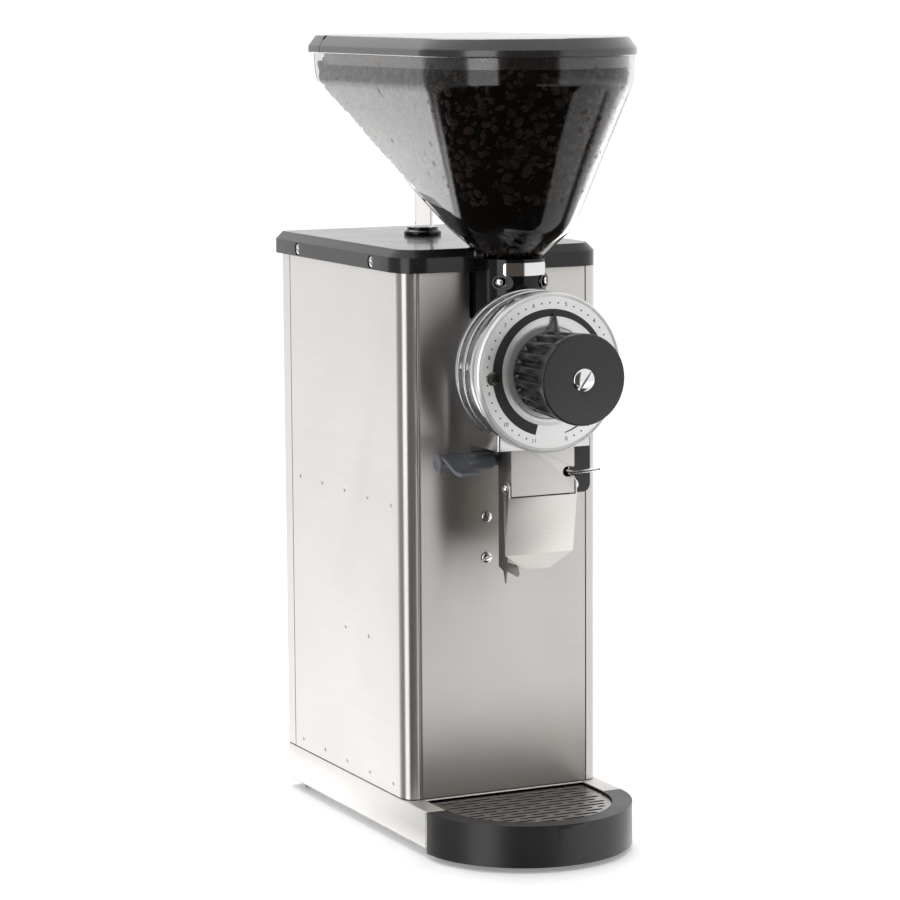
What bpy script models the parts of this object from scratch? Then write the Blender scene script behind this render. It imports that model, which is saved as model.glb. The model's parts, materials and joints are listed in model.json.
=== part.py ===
"""Bulk burr coffee grinder, modelled as the separate pieces it is assembled from.

Metres, +Z up.  Everything is drawn in the panel frame: X = 0 is the middle of the
cabinet, Y = 0 is the front face of the front panel, -Y points at the user, and Z = 0 is
the floor.  At the end one empty carries all pieces so that the origin lies on the floor
under the middle of the whole grinder.
"""
import math

import bmesh
import bpy
from mathutils import Matrix, Vector

# ---------------------------------------------------------------- driving dimensions
GAP = 0.0003                # clearance between touching pieces
SHEET = 0.0012              # stainless sheet
WELD = 0.000002             # points closer than this are one point

PANEL_FRAME_Y = -0.0620     # front panel face in the part's own frame

BODY_HALF = 0.0950          # cabinet half width
BODY_DEPTH = 0.2690         # front panel face to rear face
BODY_LOW = 0.0425
BODY_HIGH = 0.5018
CORNER_RADIUS = 0.0130      # side panels wrap round the front corners
REAR_RADIUS = 0.0080
PANEL_HALF = 0.0815         # front panel half width, between the wrapped corners
SIDE_SEAM = 0.2450          # side panel ends, rear cover begins
PANEL_RETURN = 0.0115       # fold behind each edge of the front panel
CUTOUT_HALF = 0.0310
CUTOUT_LOW = 0.3560

BASE_FRONT = -0.0410
BASE_LOW = 0.0093
BASE_HIGH = 0.0415
BASE_SHEET = 0.0015
PLATE_LOW = 0.0078          # floor plate under the base frame
PLATE_HIGH = 0.0090
OPENING_HALF = 0.0770       # tray opening in the base frame
FOOT_RADIUS = 0.0100
FOOT_X = 0.0750
FOOT_FRONT = -0.0250
FOOT_REAR = 0.2500

TRAY_RADIUS = 0.0950
TRAY_CENTRE = -0.0380
TRAY_LOW = 0.0050
TRAY_HIGH = 0.0413
TRAY_TONGUE_HALF = 0.0785   # part of the tray that slides in under the base frame
TRAY_TONGUE_HIGH = 0.0390
WELL_RADIUS = 0.0756
WELL_CENTRE = -0.0420
WELL_FLOOR = 0.0130
LEDGE_HIGH = 0.0372
GRILLE_THICK = 0.0015
SLOT_PITCH = 0.0085
SLOT_WIDTH = 0.0036
SLOT_LENGTH = 0.0270
SLOT_STEP = 0.0320

COVER_HALF = 0.0980         # top cover
COVER_FRONT = -0.0050
COVER_REAR = 0.2790
COVER_LOW = 0.5020
COVER_EDGE = 0.5150
COVER_HIGH = 0.5217
COVER_CHAMFER = 0.0065
COVER_FRONT_RADIUS = 0.0270
COVER_REAR_RADIUS = 0.0100
COVER_WALL = 0.0030
COVER_SCREW_Z = 0.5085
COVER_SCREW_Y = (0.0590, 0.2210)

AXIS_Z = 0.4215             # main shaft axis
HEAD_RADIUS = 0.0680
BLOCK_HALF = 0.0280
BLOCK_HIGH = 0.4615
HEAD_BACK = 0.0120
CHAMBER_RADIUS = 0.0532
CHAMBER_BACK = -0.0515
CHAMBER_FRONT = -0.0840
SPOUT_HALF = 0.0440
SPOUT_LOW = 0.3700
SHAFT_RADIUS = 0.0074
SHAFT_END = -0.0675
AUGER_RADIUS = 0.0158
AUGER_CORE = 0.0098
AUGER_PITCH = 0.0150
BURR_RADIUS = 0.0460
BURR_TEETH = 18

DIAL_RADIUS = 0.0682
DIAL_BACK = -0.0843
DIAL_FACE = -0.0910
KNOB_RADIUS = 0.0385
KNOB_BACK = -0.0920
KNOB_FACE = -0.1525
KNOB_RIM = 0.0085           # smooth rim in front of the flutes
KNOB_FLUTES = 18
FLUTE_DEPTH = 0.0034
POINTER_ANGLE = math.radians(4.0)
POINTER_TIP = 0.0505
POINTER_HALF = 0.0066

THROAT_Y = -0.0210          # axis of the bean throat
COLLAR_CENTRE = -0.0220
COLLAR_LOW = 0.4760
COLLAR_HIGH = 0.5140
COLLAR_BACK = 0.0080
COLLAR_BORE = 0.0249
NECK_RADIUS = 0.0245
LOCK_ANGLE = math.radians(45.0)
LOCK_Z = 0.4945

HOPPER_WALL = 0.0030
HOPPER_HALF = 0.0950
HOPPER_TOP = 0.6860
# height, half width (also the front radius), centre of the front arc, rear wall, rear corner
HOPPER_LEVELS = (
    (0.4766, 0.0245, -0.0210, 0.0035, 0.0245),
    (0.5145, 0.0245, -0.0210, 0.0035, 0.0245),
    (0.5160, 0.0275, -0.0205, 0.0060, 0.0255),
    (0.5230, 0.0357, -0.0200, 0.0080, 0.0260),
    (0.5360, 0.0500, -0.0200, 0.0125, 0.0250),
    (0.5430, 0.0545, -0.0205, 0.0150, 0.0200),
    (0.5500, 0.0575, -0.0210, 0.0205, 0.0140),
    (0.6035, 0.0750, -0.0295, 0.1010, 0.0110),
    (0.6630, 0.0945, -0.0405, 0.1890, 0.0090),
    (0.6860, 0.0950, -0.0410, 0.1920, 0.0090),
)
WEB_HALF = 0.0015           # upright web under the sloping back of the hopper
WEB_FRONT = 0.1000
WEB_REAR = 0.1750
WEB_LOW = 0.5296
HOPPER_FOOT_Y = 0.1610
HOPPER_FOOT_RADIUS = 0.0170

LID_HALF = 0.0975
LID_CENTRE = -0.0400
LID_SEAM = 0.1660
LID_REAR = 0.2000
LID_LOW = 0.6864
LID_EDGE = 0.6925
LID_HIGH = 0.7025
LID_BEVEL = 0.0070
LID_AXIS_Z = 0.7003         # just under the top face, so the open lid clears the rear part
LID_PLATE = 0.0060
HINGE_REBATE = 0.0030       # step in the rear part that the edge of the lid turns into
LID_SEGMENTS = 24

CHUTE_HALF = 0.0285
CHUTE_BACK = -0.0490
CHUTE_HIGH = 0.3695
SHELF_LOW = 0.3156          # lower edge of the chute cover
FLAP_AXIS_Y = -0.0720
FLAP_AXIS_Z = 0.3220
FLAP_HALF = 0.0324

LEVER_AXIS_Y = -0.0420
LEVER_AXIS_Z = 0.3430
LEVER_HUB_RADIUS = 0.0088
LEVER_LEFT = -0.0830
LEVER_HUB_END = -0.0315
LEVER_BLADE = 0.0190
LEVER_SHAFT_RADIUS = 0.0050
ARM_INNER = 0.0380
ARM_OUTER = 0.0620

MOTOR_RADIUS = 0.0700
MOTOR_FRONT = 0.0160
MOTOR_REAR = 0.1950
CHASSIS_FRONT = 0.0123
CHASSIS_BACK = 0.0145

# ---------------------------------------------------------------- finishes
FINISHES = {
    "stainless": ((0.62, 0.60, 0.58), 0.32, 1.0),
    "stainless_bright": ((0.74, 0.73, 0.72), 0.18, 1.0),
    "charcoal_plastic": ((0.055, 0.056, 0.060), 0.50, 0.0),
    "gloss_black": ((0.012, 0.012, 0.013), 0.12, 0.0),
    "soft_black": ((0.040, 0.040, 0.042), 0.55, 0.0),
    "black_rubber": ((0.015, 0.015, 0.015), 0.80, 0.0),
    "smoked_clear": ((0.10, 0.09, 0.09), 0.08, 0.0),
    "cast_aluminium": ((0.58, 0.58, 0.59), 0.38, 1.0),
    "dial_silver": ((0.80, 0.80, 0.80), 0.30, 0.8),
    "chrome": ((0.85, 0.85, 0.86), 0.07, 1.0),
    "tool_steel": ((0.30, 0.30, 0.31), 0.30, 1.0),
    "grey_lever": ((0.16, 0.17, 0.18), 0.42, 0.7),
    "motor_paint": ((0.08, 0.09, 0.10), 0.45, 0.0),
    "galvanised": ((0.50, 0.52, 0.53), 0.45, 1.0),
    "copper_iron": ((0.28, 0.20, 0.16), 0.50, 0.8),
    "white_plastic": ((0.75, 0.75, 0.73), 0.45, 0.0),
}


def finish(name):
    """The shared material for one finish."""
    if name in bpy.data.materials:
        return bpy.data.materials[name]
    colour, roughness, metallic = FINISHES[name]
    material = bpy.data.materials.new(name)
    material.use_nodes = True
    shader = material.node_tree.nodes["Principled BSDF"]
    shader.inputs["Base Color"].default_value = (*colour, 1.0)
    shader.inputs["Roughness"].default_value = roughness
    shader.inputs["Metallic"].default_value = metallic
    material.diffuse_color = (*colour, 1.0)
    return material


# ---------------------------------------------------------------- outlines
def arc(cx, cy, radius, start, end, steps):
    """Points of an arc, angles in degrees, both ends included."""
    points = []
    for i in range(steps + 1):
        angle = math.radians(start + (end - start) * i / steps)
        points.append((cx + radius * math.cos(angle), cy + radius * math.sin(angle)))
    return points


def rounded_box(x0, x1, y0, y1, front_radius, rear_radius, steps=5):
    """Plan of a box whose two front and two rear corners have their own radii."""
    points = arc(x0 + front_radius, y0 + front_radius, front_radius, 180, 270, steps)
    points += arc(x1 - front_radius, y0 + front_radius, front_radius, 270, 360, steps)
    points += arc(x1 - rear_radius, y1 - rear_radius, rear_radius, 0, 90, steps)
    points += arc(x0 + rear_radius, y1 - rear_radius, rear_radius, 90, 180, steps)
    return points


def d_outline(half, centre, rear, corner, steps=LID_SEGMENTS, corner_steps=4):
    """Plan with a half-round front, flat sides and a straight rear with round corners."""
    points = arc(0.0, centre, half, 180, 360, steps)
    points += arc(half - corner, rear - corner, corner, 0, 90, corner_steps)
    points += arc(corner - half, rear - corner, corner, 90, 180, corner_steps)
    return points


def sheet_outline(path, thickness):
    """Outline of bent sheet metal: an open path and its copy moved to the left of it."""
    points = [Vector(p) for p in path]
    inner = []
    for i, point in enumerate(points):
        ahead = points[min(i + 1, len(points) - 1)] - points[min(i, len(points) - 2)]
        behind = points[max(i, 1)] - points[max(i - 1, 0)]
        normal_ahead = Vector((-ahead.y, ahead.x)).normalized()
        normal_behind = Vector((-behind.y, behind.x)).normalized()
        mitre = (normal_ahead + normal_behind).normalized()
        inner.append(point + mitre * (thickness / mitre.dot(normal_ahead)))
    return [tuple(p) for p in points] + [tuple(p) for p in reversed(inner)]


# ---------------------------------------------------------------- solids
def place(u, v, h, axis):
    """A point from two outline coordinates and a height along the named axis."""
    if axis == "Z":
        return (u, v, h)
    if axis == "Y":
        return (u, h, v)
    return (h, u, v)


def closed_mesh(bm):
    """Turn a bmesh into a mesh with its faces pointing out."""
    bmesh.ops.recalc_face_normals(bm, faces=bm.faces)
    mesh = bpy.data.meshes.new("solid")
    bm.to_mesh(mesh)
    bm.free()
    return mesh


def lofted(rings):
    """Solid through a stack of rings with equally many points, flat at both ends."""
    bm = bmesh.new()
    loops = [[bm.verts.new(point) for point in ring] for ring in rings]
    for low, high in zip(loops, loops[1:]):
        for i in range(len(low)):
            j = (i + 1) % len(low)
            bm.faces.new((low[i], low[j], high[j], high[i]))
    bm.faces.new(loops[0])
    bm.faces.new(loops[-1])
    return closed_mesh(bm)


def prism(outline, low, high, axis="Z"):
    """An outline drawn square to the axis and extruded along it."""
    return lofted([[place(u, v, h, axis) for u, v in outline] for h in (low, high)])


def block(x0, x1, y0, y1, z0, z1):
    """A plain rectangular solid."""
    return prism([(x0, y0), (x1, y0), (x1, y1), (x0, y1)], z0, z1)


def turned(profile, axis="Y", centre=(0.0, AXIS_Z), steps=32, hollow=False):
    """Lathe solid: profile of (radius, height) points; hollow joins its ends in a ring."""
    bm = bmesh.new()
    loops = []
    for radius, height in profile:
        if radius == 0.0:
            loops.append([bm.verts.new(place(centre[0], centre[1], height, axis))])
            continue
        loop = []
        for i in range(steps):
            angle = 2.0 * math.pi * i / steps
            u = centre[0] + radius * math.cos(angle)
            v = centre[1] + radius * math.sin(angle)
            loop.append(bm.verts.new(place(u, v, height, axis)))
        loops.append(loop)
    pairs = list(zip(loops, loops[1:]))
    if hollow:
        pairs.append((loops[-1], loops[0]))
    for first, second in pairs:
        for i in range(steps):
            j = (i + 1) % steps
            if len(first) == 1:
                bm.faces.new((first[0], second[j], second[i]))
            elif len(second) == 1:
                bm.faces.new((first[i], first[j], second[0]))
            else:
                bm.faces.new((first[i], first[j], second[j], second[i]))
    return closed_mesh(bm)


def rod(radius, low, high, axis="Y", centre=(0.0, AXIS_Z), steps=24):
    """A plain round bar."""
    return turned([(0.0, low), (radius, low), (radius, high), (0.0, high)], axis, centre, steps)


def ring(outer, inner, low, high, axis="Y", centre=(0.0, AXIS_Z), steps=32):
    """A round tube."""
    profile = [(outer, low), (outer, high), (inner, high), (inner, low)]
    return turned(profile, axis, centre, steps, hollow=True)


def add(name, mesh, look, smooth_angle=30.0):
    """Put a mesh in the scene as one named piece."""
    mesh.name = name
    piece = bpy.data.objects.new(name, mesh)
    bpy.context.collection.objects.link(piece)
    mesh.materials.clear()
    mesh.materials.append(finish(look))
    mesh.shade_smooth()
    mesh.set_sharp_from_angle(angle=math.radians(smooth_angle))
    return piece


def combine(piece, tool_mesh, operation):
    """Boolean a tool into a piece and keep the result as the piece's own mesh."""
    tool = bpy.data.objects.new("tool", tool_mesh)
    bpy.context.collection.objects.link(tool)
    modifier = piece.modifiers.new("combine", "BOOLEAN")
    modifier.operation = operation
    modifier.object = tool
    graph = bpy.context.evaluated_depsgraph_get()
    result = bpy.data.meshes.new_from_object(piece.evaluated_get(graph))
    bm = bmesh.new()
    bm.from_mesh(result)
    bmesh.ops.remove_doubles(bm, verts=bm.verts, dist=WELD)
    bm.to_mesh(result)
    bm.free()
    piece.modifiers.clear()
    piece.data = result
    bpy.data.objects.remove(tool)


def cut(piece, *tools):
    """Remove tools from a piece, one after another."""
    for tool in tools:
        combine(piece, tool, "DIFFERENCE")


def join(piece, *tools):
    """Unite tools with a piece, one after another."""
    for tool in tools:
        combine(piece, tool, "UNION")


def set_origin(piece, point):
    """Move a piece's origin, for instance onto its joint's axis."""
    piece.data.transform(Matrix.Translation(-Vector(point)))
    piece.location = point


# ---------------------------------------------------------------- base and tray
def make_base():
    """Stainless base frame, open below, with the tray opening at the front."""
    outline = rounded_box(-BODY_HALF, BODY_HALF, BASE_FRONT, BODY_DEPTH, 0.002, REAR_RADIUS)
    base = add("base_frame", prism(outline, BASE_LOW, BASE_HIGH), "stainless")
    inset = BASE_SHEET
    hollow = rounded_box(inset - BODY_HALF, BODY_HALF - inset, BASE_FRONT + inset,
                         BODY_DEPTH - inset, 0.001, REAR_RADIUS - inset)
    mouth = TRAY_TONGUE_HALF + 0.0005
    cut(base, prism(hollow, BASE_LOW - 0.01, BASE_HIGH - inset))
    cut(base, block(-OPENING_HALF, OPENING_HALF, BASE_FRONT - 0.01, -0.0015, 0.0, 0.1))
    cut(base, block(-mouth, mouth, BASE_FRONT - 0.01, BASE_FRONT + 0.005, 0.0, BASE_HIGH - inset))
    plate_outline = rounded_box(0.001 - BODY_HALF, BODY_HALF - 0.001, BASE_FRONT + 0.001,
                                BODY_DEPTH - 0.001, 0.002, REAR_RADIUS)
    add("base_plate", prism(plate_outline, PLATE_LOW, PLATE_HIGH), "galvanised")


def make_feet():
    """Four rubber feet under the floor plate."""
    top = PLATE_LOW - GAP
    profile = [(0.0, 0.0), (FOOT_RADIUS - 0.0015, 0.0), (FOOT_RADIUS, top), (0.0, top)]
    for side, x in (("left", -FOOT_X), ("right", FOOT_X)):
        for end, y in (("front", FOOT_FRONT), ("rear", FOOT_REAR)):
            foot = turned(profile, "Z", (x, y), 16)
            add(f"foot_{end}_{side}", foot, "black_rubber")


def tray_front_outline(radius, back):
    """Half-round front of the tray closed by a straight line at the given depth."""
    reach = math.degrees(math.asin((back - TRAY_CENTRE) / radius))
    return arc(0.0, TRAY_CENTRE, radius, 180.0 - reach, 360.0 + reach, 40)


def well_outline(shrink, rear, steps=32):
    """Half-round recess of the tray with straight sides running back to the panel."""
    radius = WELL_RADIUS - shrink
    return arc(0.0, WELL_CENTRE, radius, 180, 360, steps) + [(radius, rear), (-radius, rear)]


def make_tray():
    """Moulded drip tray: half-round front and a tongue that slides under the base frame."""
    front = tray_front_outline(TRAY_RADIUS, BASE_FRONT - GAP)
    tray = add("drip_tray", prism(front, TRAY_LOW, TRAY_HIGH), "soft_black")
    tongue = block(-TRAY_TONGUE_HALF, TRAY_TONGUE_HALF, BASE_FRONT - 0.010, -0.0030,
                   PLATE_HIGH + GAP, TRAY_TONGUE_HIGH)
    join(tray, tongue)
    rear = -0.0050
    cut(tray, prism(well_outline(0.0, rear), LEDGE_HIGH, 0.1))
    cut(tray, prism(well_outline(0.0030, rear - 0.002), WELL_FLOOR, 0.1))
    cut(tray, rod(0.0260, TRAY_LOW - 0.01, TRAY_LOW + 0.0300, "Z", (0.0, -0.1560), 32))
    set_origin(tray, (0.0, BASE_FRONT, TRAY_LOW))


def grille_slots():
    """Outlines of the slots, laid like bricks and kept inside the rim of the grille."""
    rows = int((WELL_RADIUS - WELL_CENTRE - 0.012) / SLOT_PITCH)
    usable = WELL_RADIUS - 0.0060
    for row in range(rows):
        y = -0.0130 - row * SLOT_PITCH
        past = min(0.0, y - WELL_CENTRE)
        reach = math.sqrt(max(0.0, usable ** 2 - past ** 2))
        shift = SLOT_STEP / 2 if row % 2 else 0.0
        for column in range(-3, 4):
            x0 = max(column * SLOT_STEP + shift - SLOT_LENGTH / 2, -reach)
            x1 = min(column * SLOT_STEP + shift + SLOT_LENGTH / 2, reach)
            if x1 - x0 > 0.006:
                yield x0, x1, y - SLOT_WIDTH / 2, y + SLOT_WIDTH / 2


def make_grille():
    """Slotted stainless plate lying on the ledge of the tray."""
    low = LEDGE_HIGH + GAP
    high = low + GRILLE_THICK
    outline = well_outline(0.0005, -0.0060)
    grille = add("drip_grille", prism(outline, low, high), "stainless")
    bm = bmesh.new()
    for x0, x1, y0, y1 in grille_slots():
        corners = [bm.verts.new((x, y, 0.02)) for x, y in ((x0, y0), (x1, y0), (x1, y1), (x0, y1))]
        top = bmesh.ops.extrude_face_region(bm, geom=[bm.faces.new(corners)])["geom"]
        lifted = [item for item in top if isinstance(item, bmesh.types.BMVert)]
        bmesh.ops.translate(bm, verts=lifted, vec=(0.0, 0.0, 0.04))
    cut(grille, closed_mesh(bm))
    set_origin(grille, (0.0, WELL_CENTRE, low))


# ---------------------------------------------------------------- cabinet
def make_side_panels():
    """Side panels: flat sheet that wraps round the front corner."""
    centre_x = BODY_HALF - CORNER_RADIUS
    corner = arc(-centre_x, CORNER_RADIUS, CORNER_RADIUS, 180, 270, 8)
    path = [(-BODY_HALF, SIDE_SEAM)] + corner
    left_outline = sheet_outline(path, SHEET)
    right_outline = [(-x, y) for x, y in left_outline]
    left = add("left_side_panel", prism(left_outline, BODY_LOW, BODY_HIGH), "stainless")
    right = add("right_side_panel", prism(right_outline, BODY_LOW, BODY_HIGH), "stainless")
    cut(right, block(0.08, 0.11, 0.0480, 0.0720, 0.4380, 0.4720))
    return left, right


def make_front_panel():
    """Front panel with folded edges and the opening for the grinding head."""
    edge = PANEL_HALF
    path = [(-edge, PANEL_RETURN), (-edge, 0.0), (edge, 0.0), (edge, PANEL_RETURN)]
    panel = add("front_panel", prism(sheet_outline(path, SHEET), BODY_LOW, BODY_HIGH), "stainless")
    cut(panel, block(-CUTOUT_HALF, CUTOUT_HALF, -0.01, 0.005, CUTOUT_LOW, BODY_HIGH + 0.01))


def make_rear_cover():
    """Wrapped rear cover with cooling slots and the hole for the cord gland."""
    x = BODY_HALF - REAR_RADIUS
    y = BODY_DEPTH - REAR_RADIUS
    path = [(BODY_HALF, SIDE_SEAM + 0.0012)] + arc(x, y, REAR_RADIUS, 0, 90, 4)
    path += arc(-x, y, REAR_RADIUS, 90, 180, 4) + [(-BODY_HALF, SIDE_SEAM + 0.0012)]
    cover = add("rear_cover", prism(sheet_outline(path, SHEET), BODY_LOW, BODY_HIGH), "stainless")
    for row in range(8):
        z = 0.300 + row * 0.012
        cut(cover, block(-0.045, 0.045, BODY_DEPTH - 0.004, BODY_DEPTH + 0.004, z, z + 0.004))
    cut(cover, rod(0.0085, BODY_DEPTH - 0.01, BODY_DEPTH + 0.01, "Y", (-0.05, 0.085), 20))


def cover_ring(inset, z):
    """One level of the top cover, set in from its outline."""
    front = max(COVER_FRONT_RADIUS - inset, 0.002)
    rear = max(COVER_REAR_RADIUS - inset, 0.002)
    plan = rounded_box(inset - COVER_HALF, COVER_HALF - inset, COVER_FRONT + inset,
                       COVER_REAR - inset, front, rear, 5)
    return [(px, py, z) for px, py in plan]


def make_top_cover():
    """Moulded top cover, hollow below, notched round the bean throat."""
    wall = COVER_WALL
    levels = [(wall + COVER_CHAMFER, COVER_HIGH - wall), (wall, COVER_EDGE - wall), (wall, COVER_LOW),
              (0.0, COVER_LOW), (0.0, COVER_EDGE), (COVER_CHAMFER, COVER_HIGH)]
    cover = add("top_cover", lofted([cover_ring(d, z) for d, z in levels]), "charcoal_plastic")
    notch = BLOCK_HALF + 0.0006
    cut(cover, block(-notch, notch, COVER_FRONT - 0.01, COLLAR_BACK + 0.0006, 0.49, 0.53))
    cut(cover, rod(0.0385, COLLAR_HIGH + 0.0004, 0.53, "Z", (0.0, -0.0200), 40))
    for side in (-1, 1):
        for y in COVER_SCREW_Y:
            ends = sorted((side * (COVER_HALF - 0.0019), side * (COVER_HALF + 0.01)))
            cut(cover, rod(0.0056, *ends, "X", (y, COVER_SCREW_Z), 20))


def make_cover_screws():
    """Round-head screws through the skirt of the top cover."""
    for side, name in ((-1, "left"), (1, "right")):
        for y, end in zip(COVER_SCREW_Y, ("front", "rear")):
            base = side * (COVER_HALF - 0.0016)
            crown = side * (COVER_HALF - 0.0001)
            profile = [(0.0, base), (0.0050, base), (0.0036, crown), (0.0, crown)]
            screw = turned(profile, "X", (y, COVER_SCREW_Z), 12)
            add(f"cover_screw_{end}_{name}", screw, "chrome")


def make_panel_screws():
    """Two pan-head screws low on the front panel, left of the chute."""
    for name, z in (("upper", 0.2870), ("lower", 0.2510)):
        profile = [(0.0, -GAP), (0.0048, -GAP), (0.0036, -0.0028), (0.0, -0.0028)]
        add(f"panel_screw_{name}", turned(profile, "Y", (-0.0160, z), 12), "chrome")


# ---------------------------------------------------------------- inside the cabinet
def make_chassis():
    """Steel plate behind the front panel that carries the head and the motor."""
    plate = add("chassis_plate",
                block(-0.086, 0.086, CHASSIS_FRONT, CHASSIS_BACK, 0.0430, 0.4740), "galvanised")
    cut(plate, rod(0.0190, 0.0, 0.03, "Y", (0.0, AXIS_Z), 24))
    path = [(-0.085, 0.0440), (-0.055, 0.0440), (-0.055, 0.3510), (0.055, 0.3510), (0.055, 0.0440),
            (0.085, 0.0440)]
    support = add("motor_support", prism(sheet_outline(path, -0.002), 0.070, 0.160, "Y"), "galvanised")
    cut(support, rod(MOTOR_RADIUS + GAP, 0.0, 0.3, "Y", (0.0, AXIS_Z), 40))


def make_motor():
    """Motor case with the wound stator, the end bell, the rotor and the run capacitor."""
    front_wall = MOTOR_FRONT + 0.012
    profile = [(0.0090, MOTOR_FRONT), (0.0600, MOTOR_FRONT), (MOTOR_RADIUS, MOTOR_FRONT + 0.008),
               (MOTOR_RADIUS, 0.1800), (0.0670, 0.1800), (0.0670, 0.1500), (0.0380, 0.1500),
               (0.0380, 0.0600), (0.0600, 0.0600), (0.0600, front_wall), (0.0090, front_wall)]
    add("motor_case", turned(profile, steps=28, hollow=True), "motor_paint")
    bell = [(0.0178, 0.1860), (0.0090, 0.1860), (0.0090, 0.1803), (0.0698, 0.1803), (0.0698, 0.1850),
            (0.0560, MOTOR_REAR), (0.0178, MOTOR_REAR)]
    add("motor_end_bell", turned(bell, steps=28, hollow=True), "cast_aluminium")
    rotor = add("motor_rotor", ring(0.0374, SHAFT_RADIUS + GAP, 0.0620, 0.1480), "copper_iron")
    set_origin(rotor, (0.0, 0.105, AXIS_Z))
    capacitor = [(0.0, 0.0500), (0.0210, 0.0500), (0.0220, 0.0510), (0.0220, 0.1400), (0.0, 0.1400)]
    add("run_capacitor", turned(capacitor, "Z", (0.0, 0.2050), 24), "white_plastic")
    gland = [(0.0045, 0.2600), (0.0080, 0.2600), (0.0080, BODY_DEPTH + GAP), (0.0110, BODY_DEPTH + GAP),
             (0.0080, 0.2780), (0.0045, 0.2780)]
    add("cord_gland", turned(gland, "Y", (-0.05, 0.085), 16, hollow=True), "soft_black")


def make_switch():
    """Rocker switch in the right side panel."""
    y, z = 0.0600, 0.4550
    switch = add("switch_body", block(0.0735, BODY_HALF - SHEET - GAP, y - 0.0115, y + 0.0115,
                                      z - 0.0165, z + 0.0165), "soft_black")
    join(switch, block(0.0920, BODY_HALF + GAP + 0.0001, y - 0.0115, y + 0.0115, z - 0.0165, z + 0.0165))
    join(switch, block(BODY_HALF + GAP, 0.0968, y - 0.0140, y + 0.0140, z - 0.0190, z + 0.0190))
    cut(switch, block(0.0850, 0.11, y - 0.0085, y + 0.0085, z - 0.0135, z + 0.0135))
    section = [(-0.0022, -0.0055), (0.0078, -0.0114), (0.0062, 0.0), (0.0078, 0.0114), (-0.0022, 0.0055)]
    pivot_x = 0.0885
    tilt = math.radians(7.0)
    outline = []
    for u, w in section:
        outline.append((pivot_x + u * math.cos(tilt) + w * math.sin(tilt),
                        z + w * math.cos(tilt) - u * math.sin(tilt)))
    rocker = add("switch_rocker", prism(outline, y - 0.0080, y + 0.0080, "Y"), "gloss_black")
    set_origin(rocker, (pivot_x, y, z))


# ---------------------------------------------------------------- drive line
def make_shaft():
    """Main shaft, its two ball bearings and the pin that sets its end position."""
    shaft = add("main_shaft", rod(SHAFT_RADIUS, SHAFT_END, 0.1930), "tool_steel")
    set_origin(shaft, (0.0, SHAFT_END, AXIS_Z))
    add("front_bearing", ring(0.0175, SHAFT_RADIUS + GAP, -0.0020, 0.0090, steps=28), "chrome")
    add("rear_bearing", ring(0.0175, SHAFT_RADIUS + GAP, 0.1863, 0.1940, steps=28), "chrome")
    pin = add("thrust_pin", rod(0.0040, SHAFT_END - 0.0055, SHAFT_END - GAP, steps=16), "tool_steel")
    set_origin(pin, (0.0, SHAFT_END, AXIS_Z))


def make_auger():
    """Feed screw that carries beans from the throat to the burrs."""
    around, along = 16, 20
    back, front = -0.0050, -0.0575
    rings = []
    for k in range(along + 1):
        y = back + (front - back) * k / along
        loop = []
        for i in range(around):
            angle = 2.0 * math.pi * i / around
            phase = (y / AUGER_PITCH - i / around) % 1.0
            crest = max(0.0, 1.0 - abs(phase - 0.5) / 0.28)
            radius = AUGER_CORE + (AUGER_RADIUS - AUGER_CORE) * min(1.0, 1.6 * crest)
            loop.append((radius * math.cos(angle), y, AXIS_Z + radius * math.sin(angle)))
        rings.append(loop)
    auger = add("feed_auger", lofted(rings), "tool_steel")
    cut(auger, rod(SHAFT_RADIUS + GAP, -0.08, 0.02))
    set_origin(auger, (0.0, back, AXIS_Z))


def burr_mesh(back, tooth_root, tooth_tip, bore):
    """Flat burr: a ring with radial saw teeth cut in the working face."""
    bm = bmesh.new()
    steps = BURR_TEETH * 2
    mid = 0.6 * BURR_RADIUS
    loops = []
    for radius, level in ((bore, "flat"), (mid, "flat"), (BURR_RADIUS, "tooth"), (BURR_RADIUS, "back"),
                          (bore, "back")):
        loop = []
        for i in range(steps):
            angle = 2.0 * math.pi * i / steps
            height = back
            if level == "tooth":
                height = tooth_tip if i % 2 else tooth_root
            elif level == "flat":
                height = tooth_root
            loop.append(bm.verts.new((radius * math.cos(angle), height,
                                      AXIS_Z + radius * math.sin(angle))))
        loops.append(loop)
    for first, second in zip(loops, loops[1:] + loops[:1]):
        for i in range(steps):
            j = (i + 1) % steps
            bm.faces.new((first[i], first[j], second[j], second[i]))
    return closed_mesh(bm)


def make_burrs():
    """Fixed burr at the back of the chamber and turning burr on the shaft's end."""
    add("fixed_burr", burr_mesh(-0.0518, -0.0570, -0.0590, 0.0164), "tool_steel")
    turning = add("turning_burr", burr_mesh(-0.0670, -0.0620, -0.0601, SHAFT_RADIUS + GAP), "tool_steel")
    set_origin(turning, (0.0, -0.0670, AXIS_Z))


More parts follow.
